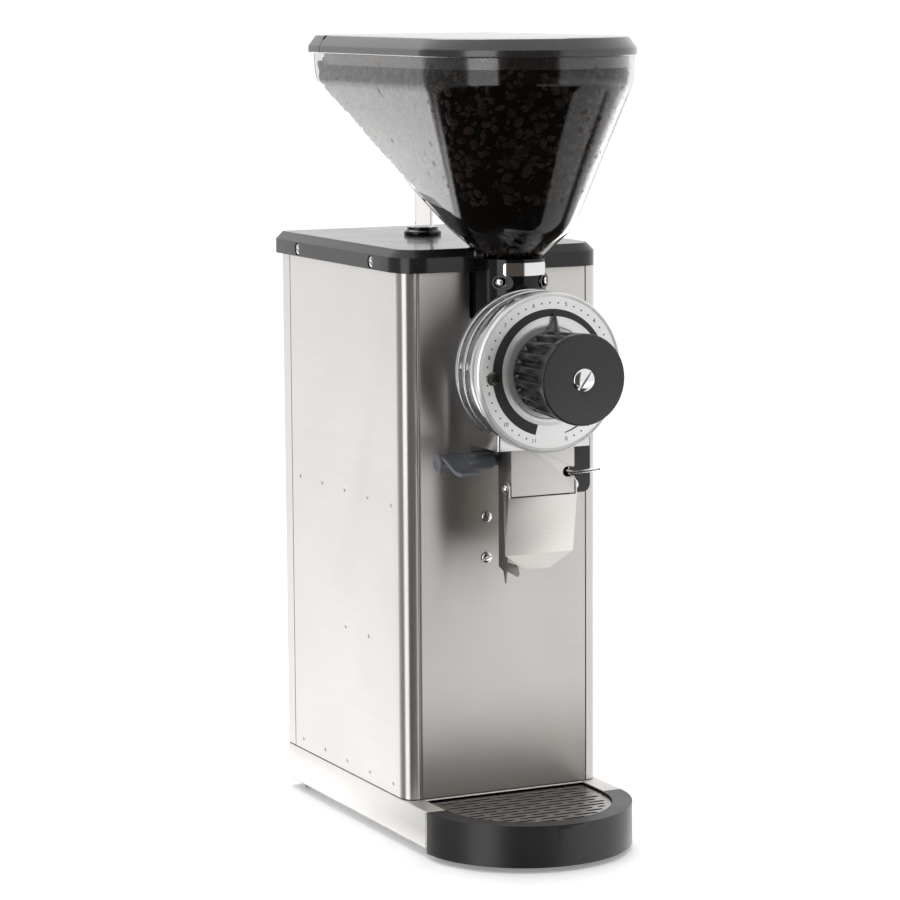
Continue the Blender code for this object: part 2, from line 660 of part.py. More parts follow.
# ---------------------------------------------------------------- grinding head
def make_head():
    """Cast grinding head: mounting block, ribbed drum, spout block and flange."""
    drum = [(0.0, -0.0465), (HEAD_RADIUS, -0.0465), (HEAD_RADIUS, -0.0525),
            (0.0620, -0.0525), (0.0620, -0.0610), (HEAD_RADIUS, -0.0610), (HEAD_RADIUS, -0.0655),
            (0.0620, -0.0655), (0.0620, -0.0750), (HEAD_RADIUS, -0.0750), (HEAD_RADIUS, CHAMBER_FRONT),
            (0.0, CHAMBER_FRONT)]
    head = add("grinder_head", turned(drum, steps=48), "cast_aluminium")
    join(head, block(-BLOCK_HALF, BLOCK_HALF, -0.0480, HEAD_BACK - 0.0002, SPOUT_LOW - 0.0020, BLOCK_HIGH))
    join(head, block(-SPOUT_HALF, SPOUT_HALF, -0.0800, -0.0220, SPOUT_LOW - 0.0030, 0.4100))
    join(head, block(-0.0400, 0.0400, 0.0030, HEAD_BACK, 0.3600, BLOCK_HIGH - 0.001))
    cut(head, block(-0.0600, 0.0600, -0.0805, 0.0015, 0.3400, SPOUT_LOW))
    cut(head, rod(BLOCK_HALF + 0.0006, COLLAR_LOW - GAP, 0.52, "Z", (0.0, COLLAR_CENTRE), 48))
    cut(head, rod(CHAMBER_RADIUS, -0.10, CHAMBER_BACK, steps=40))
    cut(head, rod(0.0165, -0.06, -0.0010), rod(0.0178, -0.0023, 0.02))
    cut(head, rod(0.0190, AXIS_Z + 0.0015, 0.50, "Z", (0.0, THROAT_Y - 0.0015), 24))
    cut(head, block(-0.0230, 0.0230, -0.0740, -0.0530, 0.35, 0.4000))


def make_dial():
    """Front plate with the grinding scale, and the screw that locks it."""
    edge = DIAL_RADIUS
    profile = [(0.0085, DIAL_BACK), (edge, DIAL_BACK), (edge, DIAL_FACE + 0.001),
               (edge - 0.001, DIAL_FACE), (0.0085, DIAL_FACE)]
    add("dial_plate", turned(profile, steps=48, hollow=True), "dial_silver")
    angle = math.radians(-92.5)
    centre = (0.054 * math.sin(angle), AXIS_Z + 0.054 * math.cos(angle))
    face = DIAL_FACE - GAP
    screw = [(0.0, face), (0.0050, face), (0.0046, face - 0.0016), (0.0, face - 0.0016)]
    add("dial_lock_screw", turned(screw, "Y", centre, 16), "grey_lever")


def knob_ring(radius, depth, y):
    """One level of the fluted knob."""
    points = []
    per_flute = 4
    for i in range(KNOB_FLUTES * per_flute):
        angle = 2.0 * math.pi * i / (KNOB_FLUTES * per_flute)
        hollow = depth if i % per_flute in (1, 2) else 0.0
        r = radius - hollow
        points.append((r * math.sin(angle), y, AXIS_Z + r * math.cos(angle)))
    return points


def make_knob():
    """Fluted adjusting knob with its pointer, screw spindle and cap screw."""
    fluted_end = KNOB_FACE + KNOB_RIM
    rings = [knob_ring(0.0345, 0.0, KNOB_BACK), knob_ring(0.0355, FLUTE_DEPTH, KNOB_BACK - 0.004),
             knob_ring(0.0370, FLUTE_DEPTH, fluted_end + 0.003), knob_ring(0.0380, 0.0, fluted_end),
             knob_ring(KNOB_RADIUS, 0.0, fluted_end - 0.001), knob_ring(KNOB_RADIUS, 0.0, KNOB_FACE + 0.002),
             knob_ring(KNOB_RADIUS - 0.002, 0.0, KNOB_FACE)]
    knob = add("adjustment_knob", lofted(rings), "soft_black")
    pointer = []
    for along, across in ((POINTER_TIP, 0.0), (0.030, POINTER_HALF), (0.030, -POINTER_HALF)):
        x = along * math.sin(POINTER_ANGLE) + across * math.cos(POINTER_ANGLE)
        z = along * math.cos(POINTER_ANGLE) - across * math.sin(POINTER_ANGLE)
        pointer.append((x, AXIS_Z + z))
    join(knob, prism(pointer, KNOB_BACK - 0.0060, KNOB_BACK - 0.0012, "Y"))
    cut(knob, rod(0.0300, -0.1450, -0.08, steps=32))
    cut(knob, rod(0.0104, KNOB_FACE - 0.01, KNOB_FACE + 0.0016, steps=24))
    set_origin(knob, (0.0, KNOB_BACK, AXIS_Z))
    spindle = [(0.0, SHAFT_END - 0.0067), (0.0080, SHAFT_END - 0.0067), (0.0080, -0.0930), (0.0280, -0.0930), (0.0280, -0.1440),
               (0.0, -0.1440)]
    screw = add("adjusting_screw", turned(spindle, steps=24), "tool_steel")
    set_origin(screw, (0.0, -0.0930, AXIS_Z))
    face = KNOB_FACE + 0.0016 - GAP
    cap = [(0.0, face), (0.0098, face), (0.0098, KNOB_FACE - 0.0008), (0.0080, KNOB_FACE - 0.0024)]
    cap.append((0.0, KNOB_FACE - 0.0025))
    cap_screw = add("knob_screw", turned(cap, steps=24), "chrome")
    set_origin(cap_screw, (0.0, face, AXIS_Z))


# ---------------------------------------------------------------- throat and hopper
def lock_slot(side):
    """Cutter for the slot through the collar wall, square to the wall at its middle."""
    half, reach = 0.0042, 0.0060
    outline = arc(reach, 0.0, half, -90, 90, 6) + arc(-reach, 0.0, half, 90, 270, 6)
    slot = prism(outline, 0.0262, 0.0400, "Y")
    slot.transform(Matrix.Scale(-1.0, 4, (0.0, 1.0, 0.0)))
    slot.flip_normals()
    turn = Matrix.Rotation(side * LOCK_ANGLE, 4, "Z")
    slot.transform(Matrix.Translation((0.0, COLLAR_CENTRE, LOCK_Z)) @ turn)
    return slot


def make_collar():
    """Gloss collar that holds the hopper's neck, its badge band and the two lock screws."""
    outline = arc(0.0, COLLAR_CENTRE, BLOCK_HALF, 180, 360, 24)
    outline += [(BLOCK_HALF, COLLAR_BACK), (-BLOCK_HALF, COLLAR_BACK)]
    collar = add("throat_collar", prism(outline, COLLAR_LOW, COLLAR_HIGH), "gloss_black")
    skirt = arc(0.0, COLLAR_CENTRE, BLOCK_HALF, 180, 239.8, 12)
    skirt += arc(0.0, COLLAR_CENTRE, BLOCK_HALF, 300.2, 360, 12)
    skirt += [(BLOCK_HALF, COLLAR_BACK), (-BLOCK_HALF, COLLAR_BACK)]
    join(collar, prism(skirt, BLOCK_HIGH + GAP, COLLAR_LOW + 0.002))
    cut(collar, rod(COLLAR_BORE, 0.45, 0.52, "Z", (0.0, THROAT_Y), 32))
    for side, name in ((-1, "left"), (1, "right")):
        cut(collar, lock_slot(side))
        turn = Matrix.Rotation(side * (LOCK_ANGLE + math.radians(5.0)), 4, "Z")
        head = turned([(0.0, -0.0304), (0.0030, -0.0302), (0.0036, -0.0280), (0.0, -0.0280)],
                      "Y", (0.0, 0.0), 12)
        head.transform(Matrix.Translation((0.0, COLLAR_CENTRE, LOCK_Z)) @ turn)
        screw = add(f"hopper_lock_screw_{name}", head, "chrome")
        stem = turned([(0.0, -0.0285), (0.0020, -0.0285), (0.0020, -0.0265), (0.0, -0.0265)],
                      "Y", (0.0, 0.0), 12)
        stem.transform(Matrix.Translation((0.0, COLLAR_CENTRE, LOCK_Z)) @ turn)
        join(screw, stem)
    inner, outer = BLOCK_HALF + GAP, BLOCK_HALF + 0.0012
    band = arc(0.0, COLLAR_CENTRE, outer, 228, 312, 16) + arc(0.0, COLLAR_CENTRE, inner, 312, 228, 16)
    add("throat_band", prism(band, 0.5010, 0.5105), "chrome")


def hopper_rings(wall):
    """Levels of the hopper, set in by the wall thickness."""
    rings = []
    for z, half, centre, rear, corner in HOPPER_LEVELS:
        plan = d_outline(half - wall, centre, rear - wall, max(corner - wall, 0.002), 24, 4)
        rings.append([(x, y, z) for x, y in plan])
    return rings


def make_hopper():
    """Clear hopper with half-round front, sloping back and an upright web below it."""
    hopper = add("hopper_shell", lofted(hopper_rings(0.0)), "smoked_clear")
    web = [(WEB_FRONT, 0.5900), (WEB_FRONT, 0.5980), (WEB_REAR, 0.6600), (WEB_REAR, WEB_LOW),
           (HOPPER_FOOT_Y - 0.020, WEB_LOW), (HOPPER_FOOT_Y - 0.020, 0.5500)]
    join(hopper, prism(web, -WEB_HALF, WEB_HALF, "X"))
    inner = hopper_rings(HOPPER_WALL)
    inner[0] = [(x, y, z - 0.01) for x, y, z in inner[0]]
    inner[-1] = [(x, y, z + 0.01) for x, y, z in inner[-1]]
    cut(hopper, lofted(inner))
    foot = [(0.0, COVER_HIGH + GAP), (HOPPER_FOOT_RADIUS, COVER_HIGH + GAP),
            (HOPPER_FOOT_RADIUS, 0.5270), (0.0140, 0.5270), (0.0140, 0.5292), (0.0, 0.5292)]
    add("hopper_foot", turned(foot, "Z", (0.0, HOPPER_FOOT_Y), 24), "gloss_black")


def lid_ring(inset, z):
    """One level of the full lid outline, set in from its edge."""
    corner = max(0.011 - inset, 0.002)
    plan = d_outline(LID_HALF - inset, LID_CENTRE, LID_REAR - inset, corner)
    return [(x, y, z) for x, y in plan]


def full_lid(with_skirt):
    """The lid and its fixed rear part as one shape, before the seam divides them."""
    under = LID_HIGH - LID_PLATE
    if with_skirt:
        inside = [(0.0100, under), (0.0088, under - 0.001), (0.0088, 0.6765), (0.0064, 0.6765),
                  (0.0064, LID_LOW)]
    else:
        inside = [(0.0100, under), (0.0064, LID_LOW)]
    levels = inside + [(0.0, LID_LOW), (0.0, LID_EDGE), (LID_BEVEL, LID_HIGH - 0.0006), (0.020, LID_HIGH)]
    return lofted([lid_ring(d, z) for d, z in levels])


def make_lid():
    """Hinged lid, its fixed rear part and the hinge pin between them."""
    lid = add("lid", full_lid(True), "charcoal_plastic")
    cut(lid, block(-0.2, 0.2, LID_SEAM - 0.0004, 0.3, 0.6, 0.8))
    cap = add("lid_rear_cap", full_lid(False), "charcoal_plastic")
    cut(cap, block(-0.2, 0.2, -0.3, LID_SEAM + 0.0004, 0.6, 0.8))
    axis = (LID_SEAM, LID_AXIS_Z)
    cut(cap, block(-0.2, 0.2, LID_SEAM, LID_SEAM + HINGE_REBATE, LID_AXIS_Z - 0.0024, 0.8))
    for piece in (lid, cap):
        cut(piece, rod(0.0018, -0.2, 0.2, "X", axis, 16))
    set_origin(lid, (0.0, *axis))
    add("lid_hinge_pin", rod(0.0014, -0.0880, 0.0880, "X", axis, 12), "stainless_bright")


# ---------------------------------------------------------------- chute and flap
def make_chute():
    """Sheet-metal chute below the head, and the cover on its upper front."""
    half = CHUTE_HALF
    path = [(half, -0.0762), (half, CHUTE_BACK), (-half, CHUTE_BACK), (-half, -0.0762)]
    duct = add("chute_duct", prism(sheet_outline(path, SHEET), 0.2300, CHUTE_HIGH), "stainless")
    side = [(-0.045, 0.3700), (-0.045, 0.2530), (-0.0580, 0.2490), (-0.0610, 0.2390), (-0.0635, 0.2390),
            (-0.0655, 0.2500), (-0.0675, 0.2640), (-0.0745, 0.3156), (-0.0758, 0.3200), (-0.0758, 0.3700)]
    combine(duct, prism(side, -0.05, 0.05, "X"), "INTERSECT")
    prong = [(-0.0620, 0.2500)] + arc(-0.0830, 0.2530, 0.0050, 270, 90, 6) + [(-0.0640, 0.2580)]
    join(duct, prism(prong, -half, SHEET - half, "X"))
    cut(duct, block(0.0200, 0.0400, -0.0900, -0.0710, 0.3305, 0.3375))
    cut(duct, block(0.0200, 0.0400, -0.0900, -0.0515, 0.2300, 0.2640))
    outer = half + GAP + SHEET
    path = [(outer, -0.0600), (outer, -0.0774), (-outer, -0.0774), (-outer, -0.0600)]
    cover = add("chute_cover", prism(sheet_outline(path, -SHEET), SHELF_LOW, 0.3690), "stainless")
    outline = arc(0.0250, 0.3340, 0.0040, 90, 270, 6) + [(0.05, 0.3300), (0.05, 0.3380)]
    cut(cover, prism(outline, -0.09, -0.0700, "Y"))


def make_flap():
    """Hinged front flap of the chute with side ears and a turned-out lip, and its rivets."""
    plate = [(-0.0778, 0.3144), (-0.0700, 0.2640), (-0.0688, 0.2642), (-0.0766, 0.3146)]
    flap = add("chute_flap", prism(plate, -FLAP_HALF, FLAP_HALF, "X"), "stainless")
    ear = arc(FLAP_AXIS_Y, FLAP_AXIS_Z, 0.0062, 0, 150, 6)
    ear += [(-0.0777, 0.3142), (-0.0699, 0.2641), (-0.0690, 0.2660)]
    inner = FLAP_HALF - SHEET
    join(flap, prism(ear, -FLAP_HALF, -inner, "X"), prism(ear, inner, FLAP_HALF, "X"))
    lip_low, lip_high = 0.2500, 0.2643
    corners = [(-FLAP_HALF, lip_high), (-0.0140, lip_low + 0.001), (-0.0120, lip_low), (0.0120, lip_low),
               (0.0140, lip_low + 0.001), (FLAP_HALF, lip_high)]
    lip = []
    for shift in (0.0, SHEET):
        lip.append([(x, -0.0700 + shift + (lip_high - z) * 0.33, z) for x, z in corners])
    join(flap, lofted(lip))
    for side in (-1, 1):
        ends = sorted((side * (inner - 0.002), side * (FLAP_HALF + 0.002)))
        cut(flap, rod(0.0023, *ends, "X", (FLAP_AXIS_Y, FLAP_AXIS_Z), 12))
    set_origin(flap, (0.0, FLAP_AXIS_Y, FLAP_AXIS_Z))
    for side, name in ((-1, "left"), (1, "right")):
        start = side * (CHUTE_HALF + GAP + SHEET + GAP)
        head = side * (FLAP_HALF + GAP)
        crown = side * 0.0358
        profile = [(0.0, start), (0.0020, start), (0.0020, head), (0.0042, head), (0.0026, crown),
                   (0.0, crown)]
        add(f"flap_rivet_{name}", turned(profile, "X", (FLAP_AXIS_Y, FLAP_AXIS_Z), 12), "chrome")
    path = ((0.0240, -0.0735, 0.3345), (0.0300, -0.0755, 0.3335), (0.0380, -0.0790, 0.3335),
            (0.0520, -0.0820, 0.3350))
    add_wire("flap_spring_wire", path, 0.0011)


def add_wire(name, path, radius):
    """Round wire along a path as a closed tube."""
    curve = bpy.data.curves.new(name, "CURVE")
    curve.dimensions = "3D"
    curve.bevel_depth = radius
    curve.bevel_resolution = 2
    curve.use_fill_caps = True
    spline = curve.splines.new("POLY")
    spline.points.add(len(path) - 1)
    for point, place_at in zip(spline.points, path):
        point.co = (*place_at, 1.0)
    wire = bpy.data.objects.new(name, curve)
    bpy.context.collection.objects.link(wire)
    curve.materials.append(finish("chrome"))


def make_lever():
    """Cleaning lever with its cross shaft, the knocker arm and their bearing bracket."""
    axis = (LEVER_AXIS_Y, LEVER_AXIS_Z)
    lever = add("cleaning_lever", rod(LEVER_HUB_RADIUS, LEVER_LEFT, LEVER_HUB_END, "X", axis, 28),
                "grey_lever")
    join(lever, rod(LEVER_SHAFT_RADIUS, LEVER_HUB_END - 0.001, ARM_INNER - GAP, "X", axis, 20))
    y, z = axis
    top = [(y + 0.001, z + 0.0086), (y - 0.012, z + 0.0066), (y - 0.024, z + 0.0018), (y - 0.033, z - 0.0022),
           (y - 0.046, z - 0.0022)]
    blade = sheet_outline([(py, pz) for py, pz in top], 0.0036)
    join(lever, prism(blade, LEVER_LEFT, LEVER_LEFT + LEVER_BLADE, "X"))
    set_origin(lever, (LEVER_LEFT, *axis))
    low, high, radius = 0.3100, 0.3660, 0.0070
    face = [(ARM_INNER, high), (ARM_INNER, low)] + arc(ARM_OUTER - radius, low + radius, radius, -90, 0, 6)
    face.append((ARM_OUTER, high))
    arm = add("knocker_arm", prism(face, y - 0.0040, y + 0.0020, "Y"), "soft_black")
    set_origin(arm, (ARM_INNER, *axis))
    bracket = add("lever_bracket", block(-0.0080, 0.0240, y - 0.0065, -GAP, 0.3340, 0.3520), "galvanised")
    cut(bracket, rod(LEVER_SHAFT_RADIUS + GAP, -0.02, 0.04, "X", axis, 20))


def main():
    for old in list(bpy.data.objects):
        bpy.data.objects.remove(old)
    make_base()
    make_feet()
    make_tray()
    make_grille()
    make_side_panels()
    make_front_panel()
    make_rear_cover()
    make_top_cover()
    make_cover_screws()
    make_panel_screws()
    make_chassis()
    make_motor()
    make_switch()
    make_shaft()
    make_auger()
    make_burrs()
    make_head()
    make_dial()
    make_knob()
    make_collar()
    make_hopper()
    make_lid()
    make_chute()
    make_flap()
    make_lever()
    pieces = list(bpy.data.objects)
    frame = bpy.data.objects.new("panel_frame", None)
    frame.location = (0.0, PANEL_FRAME_Y, 0.0)
    bpy.context.collection.objects.link(frame)
    for piece in pieces:
        piece.parent = frame


main()
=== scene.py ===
"""Looks of the bulk burr coffee grinder: fine meshes, procedural materials and the studio.

Shapes are drawn in the panel frame, in metres: X = 0 is the middle of the cabinet, Y = 0
is the face of the front panel, -Y points at the user and Z = 0 is the floor.  Their sizes
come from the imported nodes' boxes; piece() moves each mesh from there into the row frame.
"""
import json
import math
import random

import bmesh
import bpy
from mathutils import Matrix, Vector


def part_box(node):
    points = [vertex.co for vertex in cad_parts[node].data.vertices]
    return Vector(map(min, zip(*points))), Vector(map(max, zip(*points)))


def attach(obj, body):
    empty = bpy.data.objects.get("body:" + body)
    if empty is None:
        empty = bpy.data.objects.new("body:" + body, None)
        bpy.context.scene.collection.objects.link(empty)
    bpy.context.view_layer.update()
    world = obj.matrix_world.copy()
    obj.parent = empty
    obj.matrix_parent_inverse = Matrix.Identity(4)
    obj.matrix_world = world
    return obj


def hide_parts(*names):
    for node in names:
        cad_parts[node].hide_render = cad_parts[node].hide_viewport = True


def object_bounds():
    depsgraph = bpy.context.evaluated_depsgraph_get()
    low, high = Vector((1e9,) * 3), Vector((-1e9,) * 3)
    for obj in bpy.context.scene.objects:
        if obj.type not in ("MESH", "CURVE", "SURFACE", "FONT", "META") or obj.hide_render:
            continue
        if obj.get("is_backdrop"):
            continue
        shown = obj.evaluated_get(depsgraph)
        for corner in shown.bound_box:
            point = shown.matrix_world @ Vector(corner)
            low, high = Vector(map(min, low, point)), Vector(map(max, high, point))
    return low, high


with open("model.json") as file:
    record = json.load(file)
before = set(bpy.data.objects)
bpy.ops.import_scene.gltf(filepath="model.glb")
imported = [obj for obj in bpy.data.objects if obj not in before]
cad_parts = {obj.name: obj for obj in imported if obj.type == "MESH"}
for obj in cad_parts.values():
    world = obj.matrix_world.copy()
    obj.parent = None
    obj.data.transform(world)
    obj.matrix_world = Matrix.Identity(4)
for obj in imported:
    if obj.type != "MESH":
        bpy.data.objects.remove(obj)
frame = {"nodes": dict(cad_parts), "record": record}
CAD_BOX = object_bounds()
PANEL_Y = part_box("front_panel")[0].y

SHEET = 0.0012              # stainless sheet
FINE = 96                   # facets round a large turned piece
TAU = 2.0 * math.pi
SIDES = ((-1, "left"), (1, "right"))


class Extent:
    """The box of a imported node, measured in the panel frame."""

    def __init__(self, node):
        low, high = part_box(node)
        self.x0, self.x1 = low.x, high.x
        self.y0, self.y1 = low.y - PANEL_Y, high.y - PANEL_Y
        self.z0, self.z1 = low.z, high.z
        self.x = (self.x0 + self.x1) / 2
        self.y = (self.y0 + self.y1) / 2
        self.z = (self.z0 + self.z1) / 2


DIAL = Extent("dial_plate")
AXIS_Z = DIAL.z             # main shaft axis


# ---------------------------------------------------------------- material helpers
def node(tree, kind, inputs=(), **settings):
    """Add a node, set its properties, and set or link its inputs."""
    made = tree.nodes.new(kind)
    for key, value in settings.items():
        setattr(made, key, value)
    for key, value in dict(inputs).items():
        if isinstance(value, bpy.types.NodeSocket):
            tree.links.new(value, made.inputs[key])
        else:
            made.inputs[key].default_value = value
    return made


def socket_name(key):
    """The Principled socket that a name with underscores stands for."""
    return key.replace("_", " ").title().replace("Ior", "IOR")


def shader_of(name, **sockets):
    """A new material with a Principled shader, whose plain sockets are set by name."""
    material = bpy.data.materials.new(name)
    material.use_nodes = True
    tree = material.node_tree
    shader = tree.nodes["Principled BSDF"]
    for key, value in sockets.items():
        shader.inputs[socket_name(key)].default_value = value
    return material, tree, shader


def feed(tree, shader, **sources):
    """Link node outputs to a shader's sockets by name."""
    for key, source in sources.items():
        tree.links.new(source, shader.inputs[socket_name(key)])


def object_place(tree):
    """The shaded point in its piece's own frame."""
    return node(tree, "ShaderNodeTexCoord").outputs["Object"]


def noise_at(tree, scale, stretch=(1.0, 1.0, 1.0), detail=3.0, roughness=0.55):
    """Noise in object space, stretched along the chosen axes."""
    inputs = {"Vector": object_place(tree), "Scale": stretch}
    mapped = node(tree, "ShaderNodeMapping", inputs).outputs["Vector"]
    return node(tree, "ShaderNodeTexNoise", {"Vector": mapped, "Scale": scale, "Detail": detail,
                                             "Roughness": roughness}).outputs["Fac"]


def spread(tree, value, low, high, start=0.35, end=0.65):
    """Map the useful middle of a noise to the range from low to high."""
    inputs = {"Value": value, "From Min": start, "From Max": end, "To Min": low, "To Max": high}
    return node(tree, "ShaderNodeMapRange", inputs).outputs["Result"]


def smooth_step(tree, value, start, end):
    """0 up to the start, 1 from the end on, and smooth between them."""
    inputs = {"Value": value, "From Min": start, "From Max": end}
    return node(tree, "ShaderNodeMapRange", inputs, interpolation_type="SMOOTHSTEP").outputs["Result"]


def blend_colours(tree, factor, first, second, blend_type="MIX"):
    """Colour between two colours by a factor, each of them fixed or from a node."""
    mix = node(tree, "ShaderNodeMix", {"Factor": factor}, data_type="RGBA", blend_type=blend_type)
    for key, colour in (("A", first), ("B", second)):
        if isinstance(colour, tuple):
            mix.inputs[key].default_value = (*colour, 1.0)
        else:
            tree.links.new(colour, mix.inputs[key])
    return mix.outputs["Result"]


def shade(colour, factor):
    """A colour made darker or lighter by a factor."""
    return tuple(channel * factor for channel in colour)


def mottled(tree, noise, colour, lower, upper):
    """A colour that runs between two factors of itself with a noise."""
    return blend_colours(tree, spread(tree, noise, 0.0, 1.0), shade(colour, lower), shade(colour, upper))


def uneven(tree, fine, fine_swing, broad, broad_swing, roughness):
    """Roughness that varies a little with a fine and a broad noise."""
    parts = {0: spread(tree, fine, -fine_swing, fine_swing),
             1: spread(tree, broad, roughness - broad_swing, roughness + broad_swing)}
    return node(tree, "ShaderNodeMath", parts, operation="ADD").outputs[0]


def bumps(tree, height, strength, distance):
    """Normal of a surface raised by a height."""
    inputs = {"Height": height, "Strength": strength, "Distance": distance}
    return node(tree, "ShaderNodeBump", inputs).outputs["Normal"]


def brushed(name, tone, roughness, stretch, contrast=0.05, relief=0.00002, anisotropic=0.0, painted_reflection_heights=None):
    """Brushed metal: fine streaks along the grain over a faint large cloudiness.

    With the two heights given, the metal is darker below the first and plain above the second: a painted
    reflection of the dark drip tray and ground in front of it.
    """
    material, tree, shader = shader_of(name, metallic=1.0, anisotropic=anisotropic,
                                       anisotropic_rotation=0.25)
    streaks = noise_at(tree, 1.0, stretch, 2.0)
    clouds = noise_at(tree, 7.0)
    tint = mottled(tree, streaks, tone, 1.0 - contrast, 1.0 + contrast)
    colour = blend_colours(tree, spread(tree, clouds, 0.0, 1.0), tint, (0.965, 0.960, 0.955), "MULTIPLY")
    if painted_reflection_heights:
        height = node(tree, "ShaderNodeSeparateXYZ", {"Vector": object_place(tree)}).outputs["Z"]
        # painted reflection: the steel is darkened towards the bottom as if mirroring the dark tray and
        # ground
        colour = blend_colours(tree, smooth_step(tree, height, *painted_reflection_heights), (0.215, 0.196, 0.180), colour)
    feed(tree, shader, base_color=colour, roughness=uneven(tree, streaks, 0.012, clouds, 0.012, roughness),
         normal=bumps(tree, streaks, 0.35, relief))
    if anisotropic:
        tangent = node(tree, "ShaderNodeTangent", direction_type="UV_MAP", uv_map="grain")
        feed(tree, shader, tangent=tangent.outputs["Tangent"])
    return material


def moulded(name, colour, roughness, grain=1400.0, relief=0.00004, specks=0.0, wear=0.12, coat=0.0,
            level=0.5):
    """Moulded plastic: eggshell grain, slightly uneven gloss and paler rubbed patches."""
    material, tree, shader = shader_of(name, coat_weight=coat, coat_roughness=0.06, specular_ior_level=level)
    fine = noise_at(tree, grain, detail=1.0)
    broad = noise_at(tree, 22.0, detail=4.0)
    base = mottled(tree, broad, colour, 1.0 - wear, 1.0 + wear)
    if specks:
        dots = spread(tree, noise_at(tree, grain * 0.55, detail=0.0), 0.0, specks, 0.66, 0.74)
        base = blend_colours(tree, dots, base, (0.55, 0.56, 0.58))
    feed(tree, shader, base_color=base, roughness=uneven(tree, fine, 0.04, broad, 0.03, roughness),
         normal=bumps(tree, fine, 0.5, relief))
    return material


def cast(name, tone, roughness, grain=500.0, relief=0.00008, metallic=1.0):
    """Cast or tumbled metal: fine orange peel with dull hollows."""
    material, tree, shader = shader_of(name, metallic=metallic)
    peel = noise_at(tree, grain)
    broad = noise_at(tree, 30.0)
    feed(tree, shader, base_color=mottled(tree, broad, tone, 0.93, 1.05),
         roughness=spread(tree, broad, roughness - 0.05, roughness + 0.06),
         normal=bumps(tree, peel, 0.6, relief))
    return material


def polished(name, tone, roughness):
    """Bright plating with hairline scratches in its gloss."""
    material, tree, shader = shader_of(name, metallic=1.0)
    hairs = noise_at(tree, 1.0, (1500.0, 260.0, 420.0), 2.0)
    broad = noise_at(tree, 45.0)
    feed(tree, shader, base_color=mottled(tree, broad, tone, 0.95, 1.0),
         roughness=spread(tree, hairs, roughness * 0.6, roughness * 1.8))
    return material


def laminated(name, tone):
    """Stack of iron laminations: thin dark lines square to the shaft."""
    material, tree, shader = shader_of(name, metallic=0.9, roughness=0.5)
    inputs = {"Vector": object_place(tree), "Scale": 320.0, "Distortion": 0.4}
    wave = node(tree, "ShaderNodeTexWave", inputs, bands_direction="Y").outputs["Fac"]
    feed(tree, shader, base_color=blend_colours(tree, wave, shade(tone, 0.55), tone),
         normal=bumps(tree, wave, 0.4, 0.0001))
    return material


def spangled(name, tone, roughness):
    """Zinc coating: cells of slightly different grey and gloss."""
    material, tree, shader = shader_of(name, metallic=0.9)
    inputs = {"Vector": object_place(tree), "Scale": 130.0}
    cells = node(tree, "ShaderNodeTexVoronoi", inputs, feature="F1").outputs["Color"]
    grey = node(tree, "ShaderNodeSeparateColor", {"Color": cells}).outputs["Red"]
    feed(tree, shader, base_color=blend_colours(tree, grey, shade(tone, 0.82), shade(tone, 1.1)),
         roughness=spread(tree, grey, roughness - 0.08, roughness + 0.08, 0.0, 1.0))
    return material


def clear_plastic(name, tint):
    """Smoked clear moulding with very faint flow marks."""
    material, tree, shader = shader_of(name, transmission_weight=1.0, ior=1.36)
    flow = noise_at(tree, 16.0, (1.0, 1.0, 0.35), 2.0)
    feed(tree, shader, base_color=mottled(tree, flow, tint, 0.97, 1.0),
         roughness=spread(tree, noise_at(tree, 60.0), 0.0, 0.03),
         normal=bumps(tree, flow, 0.12, 0.0004))
    return material


def roasted(name):
    """Roasted beans: each its own brown, with a wrinkled, slightly oily skin."""
    material, tree, shader = shader_of(name, specular_ior_level=0.14)
    island = node(tree, "ShaderNodeNewGeometry").outputs["Random Per Island"]
    colour = blend_colours(tree, island, (0.0075, 0.0040, 0.0031), (0.042, 0.0225, 0.0160))
    wrinkles = noise_at(tree, 700.0, detail=4.0)
    feed(tree, shader, base_color=colour, roughness=spread(tree, wrinkles, 0.36, 0.58),
         normal=bumps(tree, wrinkles, 0.5, 0.0003))
    return material


WARM_STEEL = (0.640, 0.622, 0.602)
CHARCOAL = (0.012, 0.012, 0.014)
SHEET_GRAIN = (14.0, 1500.0, 200.0)     # streaks along X on a flat sheet


def upright_steel(name, brightness=1.0, roughness=0.36, anisotropic=0.92, painted_reflection_heights=None):
    """Stainless sheet whose grain runs level along its upright faces."""
    # a brightness above 1 gives a lighter copy of the same steel, which is painted light
    return brushed(name, shade(WARM_STEEL, brightness), roughness, (5.0, 5.0, 1300.0), 0.022, 0.0000008,
                   anisotropic, painted_reflection_heights)


